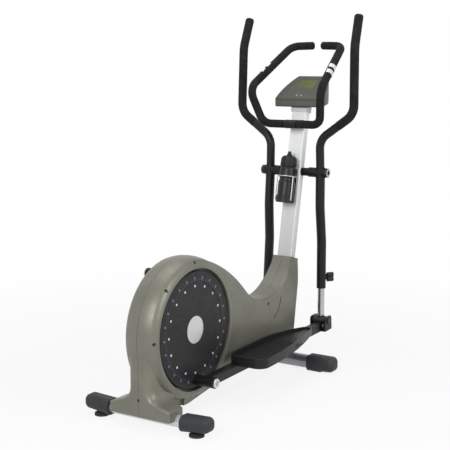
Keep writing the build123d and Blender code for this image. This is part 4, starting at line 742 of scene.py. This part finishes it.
class Palette:
    """Every finish on the trainer."""

    HOUSING = ShellFinish("housing_paint", (111, 111, 100), Grain.PAINTED, metallic=0.3, roughness=0.42,
                          mottle=0.05, coat=0.12)
    DISC = DiscFinish("disc_black", (31, 29, 30), Grain.MOULDED, roughness=0.48, mottle=0.06, specular=0.3)
    BADGE = Finish("badge_silver", (208, 208, 208), Grain.BRUSHED, metallic=0.35, roughness=0.4,
                   mottle=0.03, run=(1, 1, 30))
    BAR = Finish("bar_black", (15, 15, 16), Grain.PAINTED, roughness=0.42, coat=0.05, specular=0.25)
    FRAME = Finish("frame_black", (34, 34, 36), Grain.PAINTED, mottle=0.1)
    SILVER = Finish("tube_silver", (204, 207, 208), Grain.BRUSHED, metallic=0.6, roughness=0.32,
                    mottle=0.03, coat=0.1, run=(1, 0.05, 1))
    GREY_TUBE = Finish("tube_grey", (134, 135, 139), Grain.BRUSHED, metallic=0.8, roughness=0.3,
                       mottle=0.04, coat=0.1, run=(1, 0.05, 1))
    MAST = MastFinish("mast_silver", (250, 252, 253), Grain.BRUSHED, roughness=0.4, mottle=0.02, coat=0.1,
                      run=(1, 1, 0.05))
    LOWER = SplitFinish("lower_tube_plate", (184, 186, 188), Grain.PAINTED, metallic=1.0, roughness=0.14,
                        mottle=0.03, axis=Axis.Z, start=0.2035, half=Half.BELOW, second=(36, 36, 38),
                        second_roughness=0.45)
    PIVOT_END = RingFinish("pivot_end_ring", (30, 30, 32), Grain.MOULDED, roughness=0.4, mottle=0.06,
                           second=(206, 208, 210), second_metallic=1.0, second_roughness=0.2)
    PIN = SplitFinish("pin_plate", (208, 210, 212), Grain.PAINTED, metallic=1.0, roughness=0.16,
                      mottle=0.03)
    STEEL = Finish("zinc_steel", (168, 168, 170), Grain.BRUSHED, metallic=0.9, roughness=0.35, mottle=0.06,
                   run=(1, 20, 1))
    # partly painted reflection: the plates keep a steel tone but are lightened to near white, standing in
    # for the white surroundings they reflect
    SENSOR = Finish("sensor_plate_painted_reflection", (238, 239, 238), Grain.BRUSHED, metallic=0.25, roughness=0.4,
                    mottle=0.03, coat=0.1)
    WIRE = Finish("bright_wire", (172, 174, 176), Grain.PAINTED, metallic=0.9, roughness=0.35, mottle=0.03)
    SCREW = Finish("screw_black", (30, 30, 30), Grain.PAINTED, metallic=0.4)
    CONSOLE = Finish("console_grey", (80, 82, 75), Grain.MOULDED, metallic=0.1, mottle=0.05, specular=0.25)
    CONSOLE_BACK = SplitFinish("console_back_grey", (200, 202, 203), Grain.MOULDED, metallic=0.3,
                               roughness=0.45, mottle=0.04, axis=Axis.Z, start=1.104, second=(84, 85, 78),
                               second_metallic=0.1)
    DISPLAY = DisplayFinish("display", (94, 104, 52), Grain.PAINTED, roughness=0.3, mottle=0.05,
                            specular=0.25)
    BUTTON = Finish("button_grey", (150, 151, 148), Grain.MOULDED, mottle=0.05)
    CAP = Finish("cap_dark", (54, 55, 58), Grain.MOULDED, roughness=0.55, specular=0.25)
    RUBBER = Finish("wheel_rubber", (34, 34, 36), Grain.CAST, roughness=0.8, mottle=0.1)
    FOOT = SplitFinish("foot_rubber", (34, 34, 36), Grain.CAST, roughness=0.8, mottle=0.1, axis=Axis.Z,
                       start=0.0132, second=(150, 150, 152), second_metallic=0.9)
    WELD = Finish("weld_black", (24, 24, 26), Grain.PAINTED, roughness=0.42, coat=0.05, specular=0.25)
    FOAM = Finish("grip_foam", (25, 25, 26), Grain.FOAM, roughness=0.85, mottle=0.12, specular=0.25)
    KNOB = Finish("knob_black", (30, 30, 32), Grain.MOULDED, specular=0.25)
    TRAY = TrayFinish("tray_black", (28, 28, 30), Grain.MOULDED, roughness=0.4, mottle=0.1, specular=0.25)
    HOLDER = Finish("holder_black", (28, 28, 29), Grain.MOULDED, roughness=0.45, specular=0.25)
    BOTTLE = Finish("bottle_dark", (27, 27, 29), Grain.MOULDED, roughness=0.36, coat=0.05, specular=0.25)
    LID = Finish("bottle_lid", (26, 27, 28), Grain.MOULDED, roughness=0.38, specular=0.25)
    BUSH = Finish("bush_plastic", (176, 175, 168), Grain.MOULDED, mottle=0.05)
    PULLEY = Finish("pulley_black", (36, 36, 36), Grain.MOULDED, mottle=0.06)
    BELT = Finish("belt_rubber", (24, 24, 24), Grain.CAST, roughness=0.75)
    IRON = Finish("turned_iron", (98, 98, 100), Grain.CAST, metallic=0.8, roughness=0.45, mottle=0.1)


class Wardrobe:
    """Materials already made, one for each finish."""

    def __init__(self) -> None:
        """Starts with none."""
        self.made: Dict[str, bpy.types.Material] = {}

    def material(self, finish: Finish) -> bpy.types.Material:
        """Gives a finish's material, made on first use.

        Args:
            finish: the finish.

        Returns:
            Its material.
        """
        if finish.name not in self.made:
            self.made[finish.name] = finish.build()
        return self.made[finish.name]

    def dress(self, piece: bpy.types.Object, finish: Finish) -> None:
        """Puts a finish on a piece in place of what it wore.

        Args:
            piece: the object.
            finish: its finish.
        """
        piece.data.materials.clear()
        piece.data.materials.append(self.material(finish))
        LOG.info("%s wears %s", piece.name, finish.name)


@dataclass
class SubAssembly:
    """Group of CAD nodes with a finish each, and the pieces made for them."""

    wardrobe: Wardrobe
    finishes: Dict[str, Finish] = field(default_factory=dict)

    def build(self) -> None:
        """Dresses the group, and in some groups makes new pieces."""
        self.dress()

    def dress(self) -> None:
        """Dresses each CAD node of the group."""
        for node, finish in self.finishes.items():
            self.wardrobe.dress(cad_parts[node], finish)

    def pair(self, stem: str, finish: Finish) -> None:
        """Adds both hands of a node to the group's finishes."""
        for side in Side:
            self.finishes[f"{stem}_{side.word}"] = finish

    def add_piece(self, name: str, mesh: bmesh.types.BMesh, finish: Finish, body: str) -> bpy.types.Object:
        """Makes an object of a finished bmesh and lets it ride on a body.

        Args:
            name: the piece's name.
            mesh: its geometry, in metres and in its place.
            finish: its finish.
            body: the body that carries it.

        Returns:
            The new object.
        """
        bmesh.ops.recalc_face_normals(mesh, faces=mesh.faces)
        piece = as_object(name, mesh)
        piece.data.shade_smooth()
        self.wardrobe.dress(piece, finish)
        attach(piece, body)
        LOG.info("%s rides on %s", name, body)
        return piece


@dataclass
class FoamSleeve(SubAssembly):
    """Soft sleeve in the place of a grip's solid, rounded at its ends."""

    merge: float = 1e-5
    voxel: float = 0.0022
    passes: int = 6
    softness: float = 0.5

    def make(self, node: str, body: str) -> bpy.types.Object:
        """Makes a sleeve from its solid.

        Args:
            node: the CAD node that it stands for.
            body: the body that carries it.

        Returns:
            The sleeve.
        """
        mesh = bmesh.new()
        mesh.from_mesh(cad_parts[node].data)
        bmesh.ops.remove_doubles(mesh, verts=mesh.verts, dist=self.merge)
        sleeve = self.add_piece(f"{node}_foam", mesh, Palette.FOAM, body)
        self.remesh(sleeve)
        self.soften(sleeve)
        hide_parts(node)
        return sleeve

    def remesh(self, sleeve: bpy.types.Object) -> None:
        """Lays an even mesh over the sleeve.

        Args:
            sleeve: the sleeve.
        """
        change = sleeve.modifiers.new("even", "REMESH")
        change.mode = "VOXEL"
        change.voxel_size = self.voxel
        shown = sleeve.evaluated_get(bpy.context.evaluated_depsgraph_get())
        data = bpy.data.meshes.new_from_object(shown)
        sleeve.modifiers.clear()
        finish = sleeve.data.materials[0]
        sleeve.data = data
        data.materials.clear()
        data.materials.append(finish)

    def soften(self, sleeve: bpy.types.Object) -> None:
        """Rounds the sleeve's ends and edges.

        Args:
            sleeve: the sleeve.
        """
        mesh = bmesh.new()
        mesh.from_mesh(sleeve.data)
        for _ in range(self.passes):
            bmesh.ops.smooth_vert(mesh, verts=mesh.verts, factor=self.softness,
                                  use_axis_x=True, use_axis_y=True, use_axis_z=True)
        mesh.to_mesh(sleeve.data)
        mesh.free()
        sleeve.data.shade_smooth()


@dataclass
class Housing(SubAssembly):
    """Olive-grey drive housing with its screws."""

    def build(self) -> None:
        """Dresses the housing halves and the screws."""
        self.finishes.update({"right_shell": Palette.HOUSING, "left_shell": Palette.HOUSING,
                              "shell_screws": Palette.SCREW})
        self.dress()


@dataclass
class Base(SubAssembly):
    """Stabilizers with their caps, feet and wheels, and the frame between them."""

    def build(self) -> None:
        """Dresses what stands on the floor."""
        self.finishes.update({"main_frame": Palette.FRAME, "rear_stabilizer": Palette.SILVER,
                              "front_stabilizer": Palette.GREY_TUBE})
        self.pair("rear_cap", Palette.CAP)
        self.pair("front_cap", Palette.CAP)
        self.pair("levelling_foot", Palette.FOOT)
        self.pair("transport_wheel", Palette.RUBBER)
        self.dress()


@dataclass
class Drive(SubAssembly):
    """Crank, discs, pulleys, belt, flywheel and brake."""

    def build(self) -> None:
        """Dresses the pieces of the drive."""
        self.finishes.update({
            "crank_axle": Palette.STEEL, "crank_arms": Palette.FRAME, "crank_bearings": Palette.STEEL,
            "disc_badges": Palette.BADGE, "drive_pulley": Palette.PULLEY, "drive_belt": Palette.BELT,
            "flywheel": Palette.IRON, "flywheel_shaft": Palette.STEEL, "idler_pulley": Palette.PULLEY,
            "magnetic_brake": Palette.IRON,
        })
        self.pair("disc", Palette.DISC)
        self.dress()


@dataclass
class Mast(SubAssembly):
    """Leaning mast with the pivot of the swing arms."""

    def build(self) -> None:
        """Dresses the mast and its pivot."""
        self.finishes.update({"mast": Palette.MAST, "pivot_shaft": Palette.STEEL,
                              "pivot_covers": Palette.BAR, "pivot_end_caps": Palette.PIVOT_END})
        self.dress()


@dataclass(frozen=True)
class SaddleWeld:
    """Rippled weld bead where an upright tube meets a cross sleeve."""

    tube_radius: float
    seam: Seam
    sleeve_radius: float = 0.02075
    bead: float = 0.0021
    ripple: float = 0.16
    beats: int = 34
    steps: int = 136
    sides: int = 8
    nudge: float = 0.01

    def centre(self, turn: float) -> Vector:
        """Point of the seam at an angle round the tube.

        Args:
            turn: angle in radians.

        Returns:
            The point, from the middle of the sleeve.
        """
        across = self.tube_radius * math.cos(turn)
        height = math.sqrt(max(0.0, self.sleeve_radius ** 2 - across ** 2))
        return Vector((across, self.tube_radius * math.sin(turn), self.seam.value * height))

    def mesh(self, place: Matrix) -> bmesh.types.BMesh:
        """Lays the bead along the seam.

        Args:
            place: where the sleeve's middle lies.

        Returns:
            The bead as a closed ring.
        """
        made = bmesh.new()
        for step in range(self.steps):
            turn = math.tau * step / self.steps
            here = self.centre(turn)
            ahead = (self.centre(turn + self.nudge) - self.centre(turn - self.nudge)).normalized()
            out = Vector((here.x, here.y, 0.0)).normalized()
            ring = Matrix((out, ahead.cross(out).normalized(), ahead)).transposed().to_4x4()
            ring.translation = here
            size = self.bead * (1.0 + self.ripple * math.sin(turn * self.beats))
            bmesh.ops.create_circle(made, segments=self.sides, radius=size, matrix=place @ ring)
        bmesh.ops.bridge_loops(made, edges=made.edges[:], use_cyclic=True)
        return made


@dataclass
class SwingArms(SubAssembly):
    """Both swing arms with their foam, welds, lower tubes and knobs."""

    pivot: Point = (0.460, 0.1235, 0.831)
    angles: Dict[Side, float] = field(default_factory=lambda: {Side.RIGHT: -0.437, Side.LEFT: 4.159})
    tubes: Dict[Seam, float] = field(default_factory=lambda: {Seam.UPPER: 0.018, Seam.LOWER: 0.020})

    def weld(self, side: Side) -> None:
        """Lays the two beads on one arm's sleeve.

        Args:
            side: the arm's side.
        """
        middle = (self.pivot[0], side.value * self.pivot[1], self.pivot[2])
        place = Matrix.Translation(middle) @ Matrix.Rotation(math.radians(self.angles[side]), 4, "Y")
        for seam, radius in self.tubes.items():
            name = f"arm_weld_{seam.word}_{side.word}"
            bead = SaddleWeld(radius, seam).mesh(place)
            self.add_piece(name, bead, Palette.WELD, f"swing_{side.word}")

    def build(self) -> None:
        """Dresses the arms, and makes their foam and welds."""
        self.pair("swing_arm", Palette.BAR)
        self.pair("pivot_bushes", Palette.BUSH)
        self.pair("lower_tube", Palette.LOWER)
        self.pair("clamp_knob", Palette.KNOB)
        self.dress()
        foam = FoamSleeve(self.wardrobe)
        for side in Side:
            foam.make(f"swing_grip_{side.word}", f"swing_{side.word}")
            self.weld(side)


@dataclass
class PedalArms(SubAssembly):
    """Both pedal arms with their trays and pins."""

    def build(self) -> None:
        """Dresses the arms, trays and pins."""
        self.pair("pedal_arm", Palette.BAR)
        self.pair("pedal", Palette.TRAY)
        self.pair("pedal_hardware", Palette.PIN)
        self.dress()


@dataclass
class Handlebar(SubAssembly):
    """Fixed handlebar with its foam, clamp and pulse sensors."""

    def build(self) -> None:
        """Dresses the bar and makes its foam."""
        self.finishes.update({"handlebar": Palette.BAR, "handlebar_clamp": Palette.BAR,
                              "pulse_sensors": Palette.SENSOR})
        self.dress()
        foam = FoamSleeve(self.wardrobe)
        for side in Side:
            foam.make(f"handlebar_grip_{side.word}", "frame")


@dataclass
class Console(SubAssembly):
    """Console with its display and buttons."""

    def build(self) -> None:
        """Dresses the console."""
        self.finishes.update({"console_back": Palette.CONSOLE_BACK, "console_face": Palette.CONSOLE,
                              "console_lens": Palette.DISPLAY})
        self.pair("console_button", Palette.BUTTON)
        self.dress()


@dataclass
class BottleRack(SubAssembly):
    """Water bottle in its holder on the mast, with a ribbed cap."""

    cap_foot: Point = (0.4004, 0.0, 0.8564)
    lean: float = 10.83
    skirt_height: float = 0.036
    skirt_radii: Span = (0.034, 0.032)
    ribs: int = 20
    rib_radius: float = 0.0024
    rib_sides: int = 12
    rib_span: Span = (0.0025, 0.0335)
    rib_sink: float = 0.0010

    def build(self) -> None:
        """Dresses the bottle and its holder, and makes the ribs of the cap."""
        self.finishes.update({"bottle_holder": Palette.HOLDER, "bottle_cage": Palette.WIRE,
                              "bottle": Palette.BOTTLE, "bottle_cap": Palette.LID})
        self.dress()
        self.add_piece("bottle_cap_ribs", self.rib_ring(), Palette.LID, "bottle")

    def rib_ring(self) -> bmesh.types.BMesh:
        """Sets upright ribs round the tapered skirt of the cap.

        Returns:
            All the ribs.
        """
        made = bmesh.new()
        low, high = self.rib_span
        middle = (low + high) / 2
        narrowing = self.skirt_radii[0] - self.skirt_radii[1]
        radius = self.skirt_radii[0] - narrowing * middle / self.skirt_height - self.rib_sink
        taper = math.atan2(narrowing, self.skirt_height)
        cap = Matrix.Translation(self.cap_foot) @ Matrix.Rotation(math.radians(self.lean), 4, "Y")
        seat = Matrix.Translation((radius, 0.0, middle)) @ Matrix.Rotation(-taper, 4, "Y")
        for rib in range(self.ribs):
            turn = Matrix.Rotation(math.tau * rib / self.ribs, 4, "Z")
            bmesh.ops.create_cone(made, cap_ends=True, segments=self.rib_sides, radius1=self.rib_radius,
                                  radius2=self.rib_radius, depth=high - low, matrix=cap @ turn @ seat)
        return made


@dataclass(frozen=True)
class Lamp:
    """Square area lamp: where it hangs, what it faces, its side in metres and its power in watts."""

    name: str
    place: Point
    aim: Point
    size: float
    power: float


@dataclass
class Studio:
    """Pale floor, soft lamps, plain world and the camera."""

    eye: Point = (-3.5465, -2.244, 1.302)
    yaw: float = 33.05
    pitch: float = -8.78
    lens: float = 84.864
    sensor_width: float = 36.0
    clip_end: float = 200.0
    ambient: float = 0.3
    floor_size: float = 40.0
    floor_colour: Light = (0.86, 0.86, 0.86, 1.0)
    fade_span: Span = (0.9, 2.6)
    fade_share: Span = (0.86, 1.0)
    lamps: Tuple[Lamp, ...] = (
        Lamp("key", (-4.2, -0.5, 2.6), (0.1, 0.0, 0.8), 1.8, 105.0),
        Lamp("fill", (-0.4, -4.2, 2.4), (0.0, 0.0, 0.6), 2.6, 90.0),
        Lamp("top", (0.2, 0.6, 4.2), (0.0, 0.0, 0.4), 2.4, 40.0),
    )

    def build(self) -> None:
        """Sets the stage."""
        self.floor()
        self.world()
        for lamp in self.lamps:
            self.hang(lamp)
        self.camera()
        bpy.context.scene.view_settings.view_transform = "Standard"

    def floor(self) -> None:
        """Lays a pale floor that keeps a faint shadow and looks white to the camera."""
        mesh = bmesh.new()
        bmesh.ops.create_grid(mesh, x_segments=1, y_segments=1, size=self.floor_size / 2)
        plane = as_object("floor", mesh)
        material = bpy.data.materials.new("floor_pale")
        material.use_nodes = True
        nodes = Nodes(material.node_tree)
        away = nodes.add("ShaderNodeVectorMath", {"operation": "LENGTH"})
        nodes.join(nodes.add("ShaderNodeTexCoord").outputs["Object"], away.inputs[0])
        fade = nodes.spread(away.outputs["Value"], *self.fade_share, self.fade_span)
        matt = nodes.add("ShaderNodeBsdfDiffuse", Color=self.floor_colour)
        white = nodes.add("ShaderNodeEmission", Color=WHITE)
        share = nodes.maths("MULTIPLY", self.seen(nodes), fade)
        nodes.blend(share, matt, white, "ShaderNodeOutputMaterial")
        plane.data.materials.append(material)

    def seen(self, nodes: Nodes) -> Socket:
        """Mask of the rays that meet white: from the camera, off a gloss or through glass.

        Args:
            nodes: the tree that gets it.

        Returns:
            The mask.
        """
        path = nodes.add("ShaderNodeLightPath")
        mask = path.outputs["Is Camera Ray"]
        for ray in ("Is Glossy Ray", "Is Transmission Ray"):
            mask = nodes.maths("MAXIMUM", mask, path.outputs[ray])
        return mask

    def world(self) -> None:
        """Gives an even grey light, and white to the camera and in reflections."""
        world = bpy.data.worlds.new("studio")
        bpy.context.scene.world = world
        world.use_nodes = True
        nodes = Nodes(world.node_tree)
        light = nodes.add("ShaderNodeBackground", Color=WHITE, Strength=self.ambient)
        white = nodes.add("ShaderNodeBackground", Color=WHITE)
        nodes.blend(self.seen(nodes), light, white, "ShaderNodeOutputWorld")

    def hang(self, lamp: Lamp) -> None:
        """Hangs one lamp.

        Args:
            lamp: the lamp.
        """
        data = bpy.data.lights.new(lamp.name, "AREA")
        data.size = lamp.size
        data.energy = lamp.power
        self.point(bpy.data.objects.new(lamp.name, data), lamp.place, Vector(lamp.aim) - Vector(lamp.place))

    def camera(self) -> None:
        """Sets the camera at the photograph's angle."""
        data = bpy.data.cameras.new("camera")
        data.lens = self.lens
        data.sensor_width = self.sensor_width
        data.clip_end = self.clip_end
        camera = bpy.data.objects.new("camera", data)
        yaw = math.radians(self.yaw)
        pitch = math.radians(self.pitch)
        ahead = Vector((math.cos(yaw) * math.cos(pitch), math.sin(yaw) * math.cos(pitch), math.sin(pitch)))
        self.point(camera, self.eye, ahead)
        bpy.context.scene.camera = camera

    def point(self, thing: bpy.types.Object, place: Point, ahead: Vector) -> None:
        """Puts a lamp or the camera in its place.

        Args:
            thing: the lamp or the camera.
            place: where it stands.
            ahead: the direction that it faces.
        """
        thing.location = place
        thing.rotation_euler = ahead.to_track_quat("-Z", "Y").to_euler()
        bpy.context.scene.collection.objects.link(thing)


def main() -> None:
    """Builds the studio and each sub-assembly in order."""
    logging.basicConfig(level=logging.INFO)
    Studio().build()
    wardrobe = Wardrobe()
    groups: List[SubAssembly] = [
        Housing(wardrobe), Base(wardrobe), Drive(wardrobe), Mast(wardrobe), SwingArms(wardrobe),
        PedalArms(wardrobe), Handlebar(wardrobe), Console(wardrobe), BottleRack(wardrobe),
    ]
    for group in groups:
        group.build()


if __name__ == "__main__":
    main()
